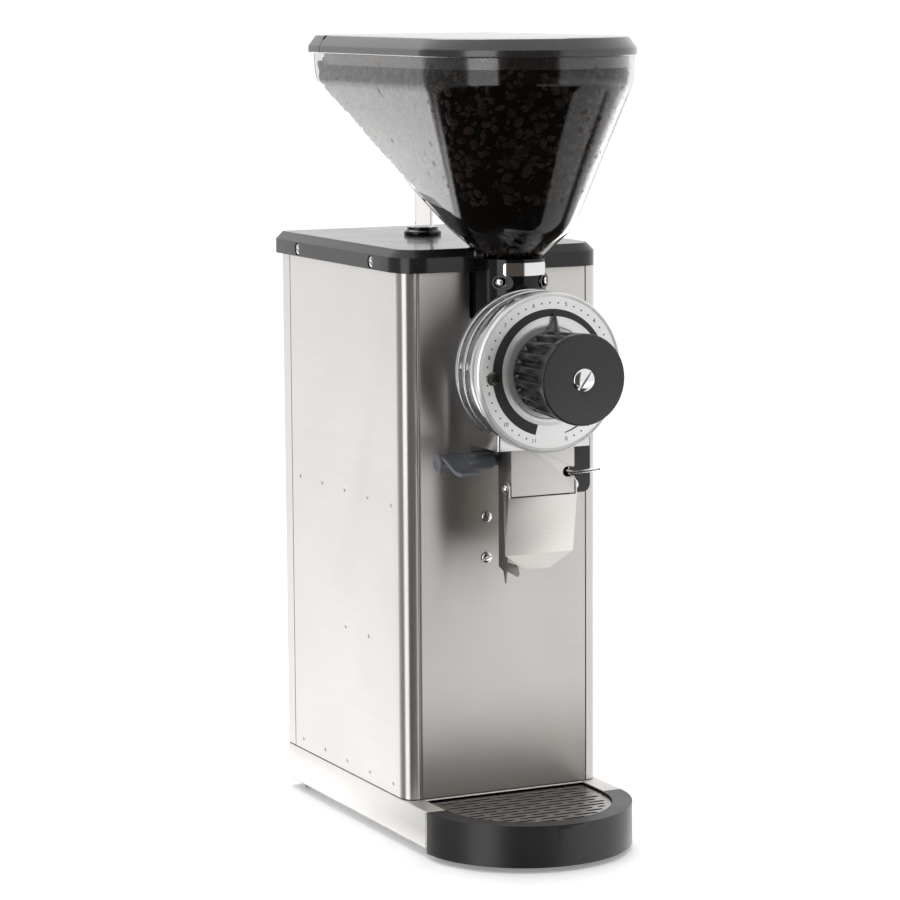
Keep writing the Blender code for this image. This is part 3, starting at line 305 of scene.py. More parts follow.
LOOKS = {
    "stainless": upright_steel("stainless_upright"),
    # front panel: painted dark reflection near its foot
    "stainless_front": upright_steel("stainless_front", painted_reflection_heights=(0.020, 0.150)),
    # painted light: the same steel made lighter, standing in for the base's brighter reflections
    "stainless_base": upright_steel("stainless_base", 1.20),
    # painted light: the same steel made lighter, standing in for the flap's brighter reflections
    "flap_steel": upright_steel("flap_steel", 1.24, 0.32, 0.80),
    "stainless_flat": brushed("stainless_flat", WARM_STEEL, 0.34, SHEET_GRAIN, 0.03, 0.000004),
    "grille_steel": brushed("grille_steel", (0.42, 0.40, 0.38), 0.30, SHEET_GRAIN, 0.04, 0.000004),
    "bearing_steel": brushed("bearing_steel", (0.66, 0.66, 0.66), 0.22, (1200.0, 60.0, 60.0)),
    "tool_steel": cast("tool_steel", (0.30, 0.30, 0.31), 0.30, 900.0, 0.00003),
    "dark_steel": cast("dark_steel", (0.14, 0.135, 0.115), 0.30, 800.0, 0.00002),
    "chrome": polished("chrome", (0.80, 0.80, 0.81), 0.06),
    "cast_aluminium": cast("cast_aluminium", (0.68, 0.68, 0.69), 0.20, 260.0, 0.00006),
    "dial_silver": cast("dial_silver", (0.77, 0.775, 0.77), 0.34, 1500.0, 0.00001, 0.75),
    "charcoal_plastic": moulded("charcoal_plastic", CHARCOAL, 0.25, 1300.0, 0.00004, 0.03, coat=0.35,
                                level=0.25),
    "lid_plastic": moulded("lid_plastic", CHARCOAL, 0.27, 1300.0, 0.00003, 0.02, coat=0.8),
    "cover_plastic": moulded("cover_plastic", (0.010, 0.010, 0.012), 0.22, 1700.0, 0.000012, 0.02, coat=0.35,
                             level=0.25),
    "gloss_black": moulded("gloss_black", (0.004, 0.004, 0.0045), 0.09, 900.0, 0.000004, wear=0.2, coat=0.15,
                           level=0.25),
    "soft_black": moulded("soft_black", (0.014, 0.014, 0.017), 0.38, 1500.0, 0.00003),
    "knob_black": moulded("knob_black", (0.007, 0.007, 0.0075), 0.27, 1600.0, 0.000006, coat=0.15),
    "black_rubber": moulded("black_rubber", (0.010, 0.010, 0.010), 0.72, 700.0, 0.00010, wear=0.3),
    "grey_lever": cast("grey_lever", (0.085, 0.092, 0.105), 0.34, 380.0, 0.00010, 0.45),
    "dial_ink": moulded("dial_ink", (0.018, 0.018, 0.017), 0.50, 1400.0, 0.00001),
    "motor_paint": moulded("motor_paint", (0.08, 0.09, 0.10), 0.45, 500.0, 0.00010),
    "galvanised": spangled("galvanised", (0.50, 0.52, 0.53), 0.42),
    "rotor_iron": laminated("rotor_iron", (0.28, 0.26, 0.25)),
    "white_plastic": moulded("white_plastic", (0.75, 0.75, 0.73), 0.42, 900.0, 0.00003, wear=0.03),
    "smoked_clear": clear_plastic("smoked_clear", (0.890, 0.875, 0.860)),
    "beans": roasted("roasted_beans"),
    # painted shade: near-black core that shows as dark gaps between the beans
    "bean_shadow": moulded("bean_shadow", (0.0022, 0.0016, 0.0013), 0.90, 300.0, 0.0002, level=0.0),
}


# ---------------------------------------------------------------- outlines
def arc(cx, cy, radius, start, end, steps):
    """Points of an arc, angles in degrees, both ends included."""
    points = []
    for i in range(steps + 1):
        angle = math.radians(start + (end - start) * i / steps)
        points.append((cx + radius * math.cos(angle), cy + radius * math.sin(angle)))
    return points


def rounded_box(x0, x1, y0, y1, front_radius, rear_radius, steps=12):
    """Plan of a box whose two front and two rear corners have their own radii."""
    points = arc(x0 + front_radius, y0 + front_radius, front_radius, 180, 270, steps)
    points += arc(x1 - front_radius, y0 + front_radius, front_radius, 270, 360, steps)
    points += arc(x1 - rear_radius, y1 - rear_radius, rear_radius, 0, 90, steps)
    points += arc(x0 + rear_radius, y1 - rear_radius, rear_radius, 90, 180, steps)
    return points


def d_outline(half, centre, rear, corner, steps=FINE, corner_steps=10):
    """Plan with a half-round front, flat sides and a straight rear with round corners."""
    points = arc(0.0, centre, half, 180, 360, steps)
    points += arc(half - corner, rear - corner, corner, 0, 90, corner_steps)
    points += arc(corner - half, rear - corner, corner, 90, 180, corner_steps)
    return points


def stadium(half_length, half_height, steps=12):
    """Slot outline with round ends, long side along the first coordinate."""
    straight = half_length - half_height
    return arc(straight, 0.0, half_height, -90, 90, steps) + arc(-straight, 0.0, half_height, 90, 270, steps)


def softened(points, radius, steps=3, closed=False):
    """The same line with rounded corners; short sides get a smaller round."""
    result = []
    last = len(points) - 1
    for i, point in enumerate(points):
        if not closed and i in (0, last):
            result.append(tuple(point))
            continue
        corner = Vector(point)
        behind = Vector(points[i - 1]) - corner
        ahead = Vector(points[(i + 1) % len(points)]) - corner
        reach = min(radius, behind.length * 0.45, ahead.length * 0.45)
        start = corner + behind.normalized() * reach
        end = corner + ahead.normalized() * reach
        for k in range(steps + 1):
            t = k / steps
            result.append(tuple(start * (1 - t) ** 2 + corner * 2 * t * (1 - t) + end * t * t))
    return result


def sheet_outline(path, thickness):
    """Outline of bent sheet metal: an open path and its copy moved to the left of it."""
    points = [Vector(p) for p in path]
    inner = []
    for i, point in enumerate(points):
        ahead = points[min(i + 1, len(points) - 1)] - points[min(i, len(points) - 2)]
        behind = points[max(i, 1)] - points[max(i - 1, 0)]
        normal_ahead = Vector((-ahead.y, ahead.x)).normalized()
        normal_behind = Vector((-behind.y, behind.x)).normalized()
        mitre = (normal_ahead + normal_behind).normalized()
        inner.append(point + mitre * (thickness / mitre.dot(normal_ahead)))
    return [tuple(p) for p in points] + [tuple(p) for p in reversed(inner)]


# ---------------------------------------------------------------- meshes
def place(u, v, h, axis):
    """A point from two outline coordinates and a height along the named axis."""
    if axis == "Z":
        return (u, v, h)
    if axis == "Y":
        return (u, h, v)
    return (h, u, v)


def closed_mesh(bm):
    """Turn a bmesh into a mesh with its faces pointing out."""
    bmesh.ops.recalc_face_normals(bm, faces=bm.faces)
    mesh = bpy.data.meshes.new("solid")
    bm.to_mesh(mesh)
    bm.free()
    return mesh


def neighbours(loops, hollow=False):
    """Each loop with the next one; hollow joins the last to the first."""
    return list(zip(loops, loops[1:])) + ([(loops[-1], loops[0])] if hollow else [])


def bridge(bm, first, second):
    """Wall of four-sided faces between two loops with equally many points."""
    for i in range(len(first)):
        j = (i + 1) % len(first)
        bm.faces.new((first[i], first[j], second[j], second[i]))


def lofted(rings, hollow=False):
    """Solid through a stack of rings with equally many points; hollow joins last to first."""
    bm = bmesh.new()
    loops = [[bm.verts.new(point) for point in ring] for ring in rings]
    for low, high in neighbours(loops, hollow):
        bridge(bm, low, high)
    if not hollow:
        bm.faces.new(loops[0])
        bm.faces.new(loops[-1])
    return closed_mesh(bm)


def prism(outline, low, high, axis="Z"):
    """An outline drawn square to the axis and extruded along it."""
    return lofted([[place(u, v, h, axis) for u, v in outline] for h in (low, high)])


def block(x0, x1, y0, y1, z0, z1, soft=0.0):
    """A rectangular solid, with its edges rounded when soft is given."""
    mesh = prism([(x0, y0), (x1, y0), (x1, y1), (x0, y1)], z0, z1)
    if soft:
        bm = bmesh.new()
        bm.from_mesh(mesh)
        bmesh.ops.bevel(bm, geom=bm.edges, offset=soft, segments=3, profile=0.5, affect="EDGES")
        mesh = closed_mesh(bm)
    return mesh


def turned(profile, axis="Y", centre=(0.0, AXIS_Z), steps=FINE, hollow=False):
    """Lathe solid: profile of (radius, height) points; hollow joins its ends in a ring."""
    bm = bmesh.new()
    loops = []
    for radius, height in profile:
        if radius == 0.0:
            loops.append([bm.verts.new(place(*centre, height, axis))])
            continue
        loop = []
        for i in range(steps):
            u = centre[0] + radius * math.cos(TAU * i / steps)
            v = centre[1] + radius * math.sin(TAU * i / steps)
            loop.append(bm.verts.new(place(u, v, height, axis)))
        loops.append(loop)
    for first, second in neighbours(loops, hollow):
        if len(first) == len(second):
            bridge(bm, first, second)
            continue
        for i in range(steps):
            j = (i + 1) % steps
            if len(first) == 1:
                bm.faces.new((first[0], second[j], second[i]))
            else:
                bm.faces.new((first[i], first[j], second[0]))
    return closed_mesh(bm)


def rod(radius, low, high, axis="Y", centre=(0.0, AXIS_Z), steps=48):
    """A plain round bar, used as a cutter or joined to other shapes."""
    return turned([(0.0, low), (radius, low), (radius, high), (0.0, high)], axis, centre, steps)


def in_scene(name, data):
    """A new object in the scene, holding a mesh, curve, camera or light."""
    made = bpy.data.objects.new(name, data)
    bpy.context.scene.collection.objects.link(made)
    return made


def final_mesh(holder):
    """The mesh of an object after its modifiers, or of a curve."""
    graph = bpy.context.evaluated_depsgraph_get()
    return bpy.data.meshes.new_from_object(holder.evaluated_get(graph))


def mesh_of_curve(curve):
    """A curve or lettering as a plain mesh."""
    holder = in_scene(curve.name, curve)
    mesh = final_mesh(holder)
    bpy.data.objects.remove(holder)
    return mesh


def combined(mesh, tools, operation):
    """Boolean meshes into a mesh, one after another."""
    holder = in_scene("holder", mesh)
    for tool_mesh in tools:
        tool = in_scene("tool", tool_mesh)
        modifier = holder.modifiers.new("combine", "BOOLEAN")
        modifier.operation = operation
        modifier.object = tool
        holder.data = final_mesh(holder)
        holder.modifiers.clear()
        bpy.data.objects.remove(tool)
    result = holder.data
    bpy.data.objects.remove(holder)
    return result


def cut(mesh, *tools):
    """A mesh less its tools."""
    return combined(mesh, tools, "DIFFERENCE")


def united(mesh, *tools):
    """A mesh and its tools as one skin."""
    return combined(mesh, tools, "UNION")


def gathered(meshes):
    """Several meshes as one mesh of separate shells."""
    bm = bmesh.new()
    for mesh in meshes:
        bm.from_mesh(mesh)
    merged = bpy.data.meshes.new("gathered")
    bm.to_mesh(merged)
    bm.free()
    return merged


def facing(mesh, point, outward, spin=0.0):
    """A mesh built upright on the origin, turned so that its +Z points outward from a point."""
    turn = Vector((0.0, 0.0, 1.0)).rotation_difference(Vector(outward)).to_matrix().to_4x4()
    mesh.transform(Matrix.Translation(point) @ turn @ Matrix.Rotation(spin, 4, "Z"))
    return mesh


def cad_mesh(name):
    """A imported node's mesh in the panel frame, with its flat faces made whole again."""
    bm = bmesh.new()
    bm.from_mesh(frame["nodes"][name].data)
    bmesh.ops.remove_doubles(bm, verts=bm.verts, dist=0.000002)
    bmesh.ops.dissolve_limit(bm, angle_limit=math.radians(0.6), verts=bm.verts, edges=bm.edges)
    bmesh.ops.translate(bm, verts=bm.verts, vec=(0.0, -PANEL_Y, 0.0))
    return closed_mesh(bm)


def grain_map(mesh):
    """Flat coordinates whose first axis runs level along every upright face."""
    layer = mesh.uv_layers.new(name="grain")
    for polygon in mesh.polygons:
        normal = polygon.normal
        for loop in polygon.loop_indices:
            point = mesh.vertices[mesh.loops[loop].vertex_index].co
            if abs(normal.z) > 0.7:
                layer.data[loop].uv = (point.x, point.y)
            elif abs(normal.x) > abs(normal.y):
                layer.data[loop].uv = (point.y, point.z)
            else:
                layer.data[loop].uv = (point.x, point.z)


def piece(name, mesh, look, body="cabinet", stands_for=(), bevel=0.0, segments=2, smooth=35.0):
    """Put a mesh in the scene as one piece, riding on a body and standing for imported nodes."""
    mesh.name = name
    mesh.transform(Matrix.Translation((0.0, PANEL_Y, 0.0)))
    mesh.materials.clear()
    mesh.materials.append(LOOKS[look])
    mesh.shade_smooth()
    grain_map(mesh)
    made = in_scene(name, mesh)
    if bevel:
        rounding = made.modifiers.new("edges", "BEVEL")
        rounding.width = bevel
        rounding.segments = segments
        rounding.limit_method = "ANGLE"
        rounding.angle_limit = math.radians(30.0)
        rounding.harden_normals = True
    else:
        mesh.set_sharp_from_angle(angle=math.radians(smooth))
    if stands_for:
        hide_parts(*stands_for)
    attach(made, body)
    return made


def refined(name, look, body="cabinet", bevel=0.0004, segments=2):
    """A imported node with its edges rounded."""
    return piece(f"fine_{name}", cad_mesh(name), look, body, (name,), bevel, segments)


# ---------------------------------------------------------------- fasteners
def dome(radius, base, rise):
    """Profile of a rounded top, from its rim to the point on the axis."""
    rim_to_top = [math.radians(15.0 * k) for k in range(6)]
    points = [(radius * math.cos(angle), base + rise * math.sin(angle)) for angle in rim_to_top]
    return points + [(0.0, base + rise)]


def pan_head(radius, height, drive="slot", steps=32):
    """Screw head standing on the origin: domed top, rounded rim and a driver recess."""
    rim = height * 0.45
    head = turned([(0.0, 0.0), (radius, 0.0)] + dome(radius, rim, height - rim), "Z", (0.0, 0.0), steps)
    wide, deep = radius * 0.13, height * 0.5
    if drive == "slot":
        return cut(head, block(-radius * 1.2, radius * 1.2, -wide, wide, deep, height * 2))
    arm = radius * 0.55
    cross = united(block(-arm, arm, -wide, wide, deep, height * 2),
                   block(-wide, wide, -arm, arm, deep, height * 2))
    return cut(head, cross)


# ---------------------------------------------------------------- base, tray and grille
def make_base():
    """Base frame and plate, and feet whose soles are hollow in the middle."""
    refined("base_frame", "stainless_base", bevel=0.0010, segments=3)
    refined("base_plate", "galvanised", bevel=0.0003)
    hollow, flare = 0.0006, 0.0030
    for end in ("front", "rear"):
        for _, side in SIDES:
            name = f"foot_{end}_{side}"
            box = Extent(name)
            radius = (box.x1 - box.x0) / 2
            profile = [(0.0, box.z0 + hollow), (radius * 0.62, box.z0 + hollow), (radius * 0.68, box.z0),
                       (radius * 0.85, box.z0), (radius, box.z0 + flare), (radius, box.z1), (0.0, box.z1)]
            mesh = turned(softened(profile, 0.0008), "Z", (box.x, box.y), 48)
            piece(f"rubber_{name}", mesh, "black_rubber", stands_for=(name,))


def well_outline(radius, centre, rear, steps=FINE):
    """Half-round recess with straight sides running back to the panel."""
    return arc(0.0, centre, radius, 180, 360, steps) + [(radius, rear), (-radius, rear)]


WELL_CENTRE = -0.0420
WELL_RADIUS = Extent("drip_grille").x1 + 0.0005


def make_tray():
    """Half-round tray: rim, tongue that slides into the base, thumb lip, grille ledge and well."""
    box = Extent("drip_tray")
    base = Extent("base_frame")
    grille = Extent("drip_grille")
    centre = box.y0 + box.x1
    back = base.y0 - 0.0003
    reach = math.degrees(math.asin((back - centre) / box.x1))
    rim = arc(0.0, centre, box.x1, 180 - reach, 360 + reach, FINE)
    tongue_half = box.x1 - 0.0165
    tray = united(prism(rim, box.z0, box.z1),
                  block(-tongue_half, tongue_half, back - 0.010, box.y1, Extent("base_plate").z1 + 0.0003,
                        grille.z0 + 0.0015))
    lip_radius, proud = 0.0340, 0.0016
    lip = rod(lip_radius, box.z1 - 0.0034, box.z1 - 0.0012, "Z", (0.0, box.y0 + lip_radius - proud), 128)
    ledge = prism(well_outline(WELL_RADIUS, WELL_CENTRE, box.y1 - 0.002), grille.z0 - 0.0003, 0.1)
    well = prism(well_outline(WELL_RADIUS - 0.003, WELL_CENTRE, box.y1 - 0.004), box.z0 + 0.008, 0.1)
    tray = cut(united(tray, lip), ledge, well)
    piece("tray_moulding", tray, "soft_black", "tray", ("drip_tray",), bevel=0.0011, segments=3)


def make_grille():
    """Slotted plate: rows of round-ended slots laid like bricks."""
    box = Extent("drip_grille")
    pitch, width, length, step = 0.0085, 0.0042, 0.0270, 0.0320
    first_row, shortest, border = -0.0130, 0.0060, 0.0055
    usable = box.x1 - border
    plate = prism(well_outline(box.x1, WELL_CENTRE, box.y1), box.z0, box.z1)
    slots = []
    rows = int((WELL_RADIUS - WELL_CENTRE - 0.012) / pitch)
    for row in range(rows):
        y = first_row - row * pitch
        past = min(0.0, y - WELL_CENTRE)
        reach = math.sqrt(max(0.0, usable ** 2 - past ** 2))
        shift = step / 2 if row % 2 else 0.0
        for column in range(-3, 4):
            x0 = max(column * step + shift - length / 2, -reach)
            x1 = min(column * step + shift + length / 2, reach)
            if x1 - x0 > shortest:
                outline = stadium((x1 - x0) / 2, width / 2, 6)
                outline = [(u + (x0 + x1) / 2, v + y) for u, v in outline]
                slots.append(prism(outline, box.z0 - 0.01, box.z1 + 0.01))
    plate = cut(plate, gathered(slots))
    piece("grille_plate", plate, "grille_steel", "grille", ("drip_grille",), 0.0003)


# ---------------------------------------------------------------- cabinet
def weld_dimple(point, side):
    """Ball that cuts one shallow spot-weld dimple."""
    ball, deep = 0.0062, 0.00040
    profile = [(ball * math.sin(math.pi * k / 36), ball * math.cos(math.pi * k / 36)) for k in range(37)]
    profile[0], profile[-1] = (0.0, ball), (0.0, -ball)
    centre = (point[0] + side * (ball - deep), point[1], point[2])
    return facing(turned(profile, "Z", (0.0, 0.0), 40), centre, (side, 0.0, 0.0))


WELD_ROWS = ((0.0525, (0.026, 0.076, 0.126, 0.176, 0.226)), (0.1755, (0.076, 0.126)),
             (0.2995, (0.026, 0.076, 0.126, 0.176, 0.226)))


def make_side_panels():
    """Wrapped side panels with spot-weld dimples, the right one cut out for the switch."""
    switch = Extent("switch_body")
    for side, hand in SIDES:
        name = f"{hand}_side_panel"
        box = Extent(name)
        radius = box.x1 - box.x0
        outer = abs(box.x0) if side < 0 else box.x1
        path = [(-outer, box.y1)] + arc(radius - outer, box.y0 + radius, radius, 180, 270, 20)
        outline = [(-side * x, y) for x, y in sheet_outline(path, SHEET)]
        mesh = prism(outline, box.z0, box.z1)
        if side > 0:
            inset = 0.0020
            mesh = cut(mesh, block(0.08, 0.11, switch.y0 + inset, switch.y1 - inset, switch.z0 + inset,
                                   switch.z1 - inset))
        dimples = [weld_dimple((side * outer, y, z), side) for z, row in WELD_ROWS for y in row]
        mesh = cut(mesh, gathered(dimples))
        piece(f"wrapped_{name}", mesh, "stainless", stands_for=(name,), smooth=12.0)


def make_front_panel():
    """Folded front panel, softer at its left edge and cut out behind the grinding head."""
    box = Extent("front_panel")
    head = Extent("grinder_head")
    left = softened([(box.x0, box.y1), (box.x0, box.y0), (0.0, box.y0)], 0.0034, 8)
    right = softened([(0.0, box.y0), (box.x1, box.y0), (box.x1, box.y1)], 0.0014, 6)
    outline = sheet_outline(left[:-1] + right[1:], SHEET)
    cutout = 0.0310
    mesh = cut(prism(outline, box.z0, box.z1),
               block(-cutout, cutout, -0.01, 0.005, head.z0 - 0.0120, box.z1 + 0.01))
    piece("folded_front_panel", mesh, "stainless_front", stands_for=("front_panel",),
          bevel=0.0003)


def make_rear():
    """Rear cover and the cord gland, which tapers in ridges."""
    piece("fine_rear_cover", cad_mesh("rear_cover"), "stainless", stands_for=("rear_cover",), smooth=12.0)
    box = Extent("cord_gland")
    bore, outer = 0.0045, box.x1 - box.x
    profile = [(bore, box.y0), (outer * 0.72, box.y0), (outer * 0.72, box.y0 + 0.0090),
               (outer, box.y0 + 0.0095)]
    for ridge in range(3):
        y = box.y0 + 0.0110 + ridge * 0.0022
        profile += [(outer * (0.98 - 0.07 * ridge), y), (outer * (0.86 - 0.07 * ridge), y + 0.0011)]
    profile += [(outer * 0.72, box.y1), (bore, box.y1)]
    mesh = turned(softened(profile, 0.0004), "Y", (box.x, box.z), 48, hollow=True)
    piece("ribbed_cord_gland", mesh, "soft_black", stands_for=("cord_gland",))


def make_top_cover():
    """Moulded cover: chamfered edge, recessed screws and the notch round the throat."""
    box = Extent("top_cover")
    collar = Extent("throat_collar")
    chamfer, wall, edge = 0.0065, 0.0030, box.z0 + 0.0130
    levels = [(wall + chamfer, box.z1 - wall), (wall, edge - wall), (wall, box.z0), (0.0, box.z0),
              (0.0, edge), (chamfer, box.z1)]
    rings = []
    for inset, z in levels:
        plan = rounded_box(box.x0 + inset, box.x1 - inset, box.y0 + inset, box.y1 - inset,
                           max(0.0270 - inset, 0.002), max(0.0100 - inset, 0.002))
        rings.append([(x, y, z) for x, y in plan])
    notch = collar.x1 + 0.0006
    tools = [block(-notch, notch, box.y0 - 0.01, collar.y1 + 0.0006, 0.49, 0.53),
             rod(0.0385, collar.z1 + 0.0004, 0.53, "Z", (0.0, -0.0200), 64)]
    head_radius, head_height, recess = 0.0047, 0.0016, 0.0019
    for side, name in SIDES:
        for end in ("front", "rear"):
            screw = Extent(f"cover_screw_{end}_{name}")
            ends = sorted((side * (box.x1 - recess), side * (box.x1 + 0.01)))
            tools.append(rod(0.0056, *ends, "X", (screw.y, screw.z), 36))
            head = facing(pan_head(head_radius, head_height, "cross"),
                          (side * (box.x1 - 0.00165), screw.y, screw.z), (side, 0.0, 0.0), 0.4)
            piece(f"crosshead_{end}_{name}", head, "chrome", stands_for=(f"cover_screw_{end}_{name}",))
    piece("moulded_top_cover", cut(lofted(rings), *tools), "cover_plastic", stands_for=("top_cover",),
          bevel=0.0012, segments=3)


def make_panel_screws():
    """The two slotted screws of the front panel."""
    for name, spin in (("panel_screw_upper", 1.2), ("panel_screw_lower", 0.5)):
        box = Extent(name)
        radius = (box.x1 - box.x0) / 2
        head = facing(pan_head(radius, 0.0026, "slot"), (box.x, -0.0002, box.z), (0.0, -1.0, 0.0), spin)
        piece(f"slotted_{name}", head, "chrome", stands_for=(name,))


# ---------------------------------------------------------------- grinding head
def make_head():
    """Cast head: drum with three rounded fins, mounting block, spout block and bosses."""
    box, collar = Extent("grinder_head"), Extent("throat_collar")
    outer, root, block_top = box.x1, box.x1 - 0.0060, collar.z0 - 0.0003
    front, back = DIAL.y1 + 0.0003, -0.0465
    fins = ((back, -0.0525), (-0.0610, -0.0655), (-0.0750, front))
    profile = [(0.0, back)]
    for start, end in fins:
        if start != back:
            profile.append((root, start))
        profile += [(outer, start), (outer, end)]
        if end != front:
            profile.append((root, end))
    profile.append((0.0, front))
    parts = [block(-0.0280, 0.0280, -0.0480, box.y1 - 0.0002, box.z0 + 0.0005, block_top, 0.0010),
             block(-0.0440, 0.0440, -0.0800, -0.0220, box.z0 - 0.0010, 0.4100, 0.0020),
             block(-0.0400, 0.0400, 0.0030, box.y1, box.z0 - 0.0060, block_top - 0.001)]
    for side in (-1, 1):
        for y in (-0.0568, -0.0703):
            boss = turned(softened([(0.0, -0.012), (0.0046, -0.012), (0.0046, 0.0), (0.0, 0.0014)], 0.0012),
                          "Z", (0.0, 0.0), 32)
            tilt = math.radians(4.0)
            outward = (side * math.cos(tilt), 0.0, math.sin(tilt))
            middle = (side * 0.0650 * math.cos(tilt), y, AXIS_Z + 0.0650 * math.sin(tilt))
            parts.append(facing(boss, middle, outward))
    head = united(turned(softened(profile, 0.0012), steps=128), *parts)
    head = cut(head, block(-0.0600, 0.0600, -0.0805, 0.0015, 0.3400, box.z0 + 0.0020),
               block(-0.0600, 0.0600, -0.0805, 0.0200, 0.3400, box.z0),
               rod(0.0286, COLLAR_STEP - 0.0003, 0.52, "Z", (0.0, -0.0220), 64),
               rod(0.0532, -0.10, -0.0515), rod(0.0165, -0.06, -0.0010), rod(0.0178, -0.0023, 0.02),
               rod(0.0190, AXIS_Z + 0.0015, 0.50, "Z", (0.0, -0.0225), 32),
               block(-0.0230, 0.0230, -0.0740, -0.0530, 0.35, 0.4000))
    piece("finned_head", head, "cast_aluminium", stands_for=("grinder_head",))


def on_dial(radius, degrees):
    """Point on the dial's face, the angle clockwise from the top."""
    angle = math.radians(degrees)
    return radius * math.sin(angle), AXIS_Z + radius * math.cos(angle)


SCALE_END = 165.0           # degrees either side of the top
NUMBER_RADIUS = 0.0592
BAND_OUTER = 0.0540
INK = 0.00012               # how far the print stands proud


def band_width(degrees):
    """Width of the tapering coarse-to-fine band."""
    stops = ((-165.0, 0.0090), (-90.0, 0.0090), (0.0, 0.0063), (45.0, 0.0050), (165.0, 0.0008))
    for (a0, w0), (a1, w1) in zip(stops, stops[1:]):
        if degrees <= a1:
            return w0 + (w1 - w0) * (degrees - a0) / (a1 - a0)
    return stops[-1][1]


def scale_band(low, high):
    """Tapering band printed round the dial."""
    steps = 132
    outline = []
    for k in range(steps + 1):
        outline.append(on_dial(BAND_OUTER, -SCALE_END + 2 * SCALE_END * k / steps))
    for k in range(steps, -1, -1):
        degrees = -SCALE_END + 2 * SCALE_END * k / steps
        outline.append(on_dial(BAND_OUTER - band_width(degrees), degrees))
    bm = bmesh.new()
    count = len(outline)
    levels = [[bm.verts.new((x, y, z)) for x, z in outline] for y in (low, high)]
    for k in range(steps):
        for level in levels:
            bm.faces.new((level[k], level[k + 1], level[count - 2 - k], level[count - 1 - k]))
    bridge(bm, *levels)
    return closed_mesh(bm)


def numeral(text, centre):
    """A small raised number, upright, facing the user."""
    curve = bpy.data.curves.new("numeral", "FONT")
    curve.body = text
    curve.size = 0.0050
    curve.extrude = INK / 2
    curve.align_x = "CENTER"
    curve.align_y = "CENTER"
    mesh = mesh_of_curve(curve)
    x, z = centre
    mesh.transform(Matrix.Translation((x, DIAL.y0 - INK / 2, z)) @ Matrix.Rotation(math.pi / 2, 4, "X"))
    mesh.materials.clear()
    return mesh


def make_dial():
    """Silver dial with two fine grooves and a raised inner ring, its print and its lock screw."""
    edge, face = DIAL.x1, DIAL.y0
    profile = [(0.0085, DIAL.y1), (edge, DIAL.y1), (edge, face + 0.0016), (edge - 0.0016, face)]
    for groove in (0.0664, 0.0652):
        profile += [(groove, face), (groove - 0.0002, face + 0.0004), (groove - 0.0006, face + 0.0004),
                    (groove - 0.0008, face)]
    profile += [(0.0455, face), (0.0418, face - 0.0009), (0.0392, face - 0.0009), (0.0388, face),
                (0.0085, face)]
    mesh = turned(softened(profile, 0.0003, 2), steps=192, hollow=True)
    piece("dial_face", mesh, "dial_silver", stands_for=("dial_plate",))
    marks = [scale_band(face - INK, face + INK)]
    for index in range(12):
        degrees = -SCALE_END + 30.0 * index
        marks.append(numeral(str(11 - index), on_dial(NUMBER_RADIUS, degrees)))
        if index < 11:
            for dot in (1, 2, 3):
                x, z = on_dial(NUMBER_RADIUS, degrees + 7.5 * dot)
                marks.append(rod(0.00075, face - INK, face + INK, "Y", (x, z), 14))
    piece("dial_markings", gathered(marks), "dial_ink")
    box = Extent("dial_lock_screw")
    head = facing(pan_head(0.0056, 0.0018, "slot", 40), (box.x, face - 0.0002, box.z), (0.0, -1.0, 0.0), 0.9)
    piece("slotted_dial_lock", head, "dark_steel", stands_for=("dial_lock_screw",))


FLUTES = 18
FLUTE_STEPS = 16
FLUTE_DEPTH = 0.0042
FLUTE_SHARE = 0.80          # part of the pitch that a flute takes up
KNOB_RADIUS = 0.0385        # at the face
KNOB_WAIST = 0.0352         # at the back of the flutes
KNOB_ROUND = 0.0016         # rounding of the face's edge


def knob_section(radius, depth, y):
    """Ring of the knob with rounded flutes of the given depth and narrow lands between them."""
    points = []
    count = FLUTES * FLUTE_STEPS
    for i in range(count):
        across = 2.0 * ((i % FLUTE_STEPS) / FLUTE_STEPS) - 1.0
        hollow = math.cos(0.5 * math.pi * min(1.0, abs(across) / FLUTE_SHARE)) ** 2
        r = radius - depth * hollow
        points.append((r * math.sin(TAU * i / count), y, AXIS_Z + r * math.cos(TAU * i / count)))
    return points


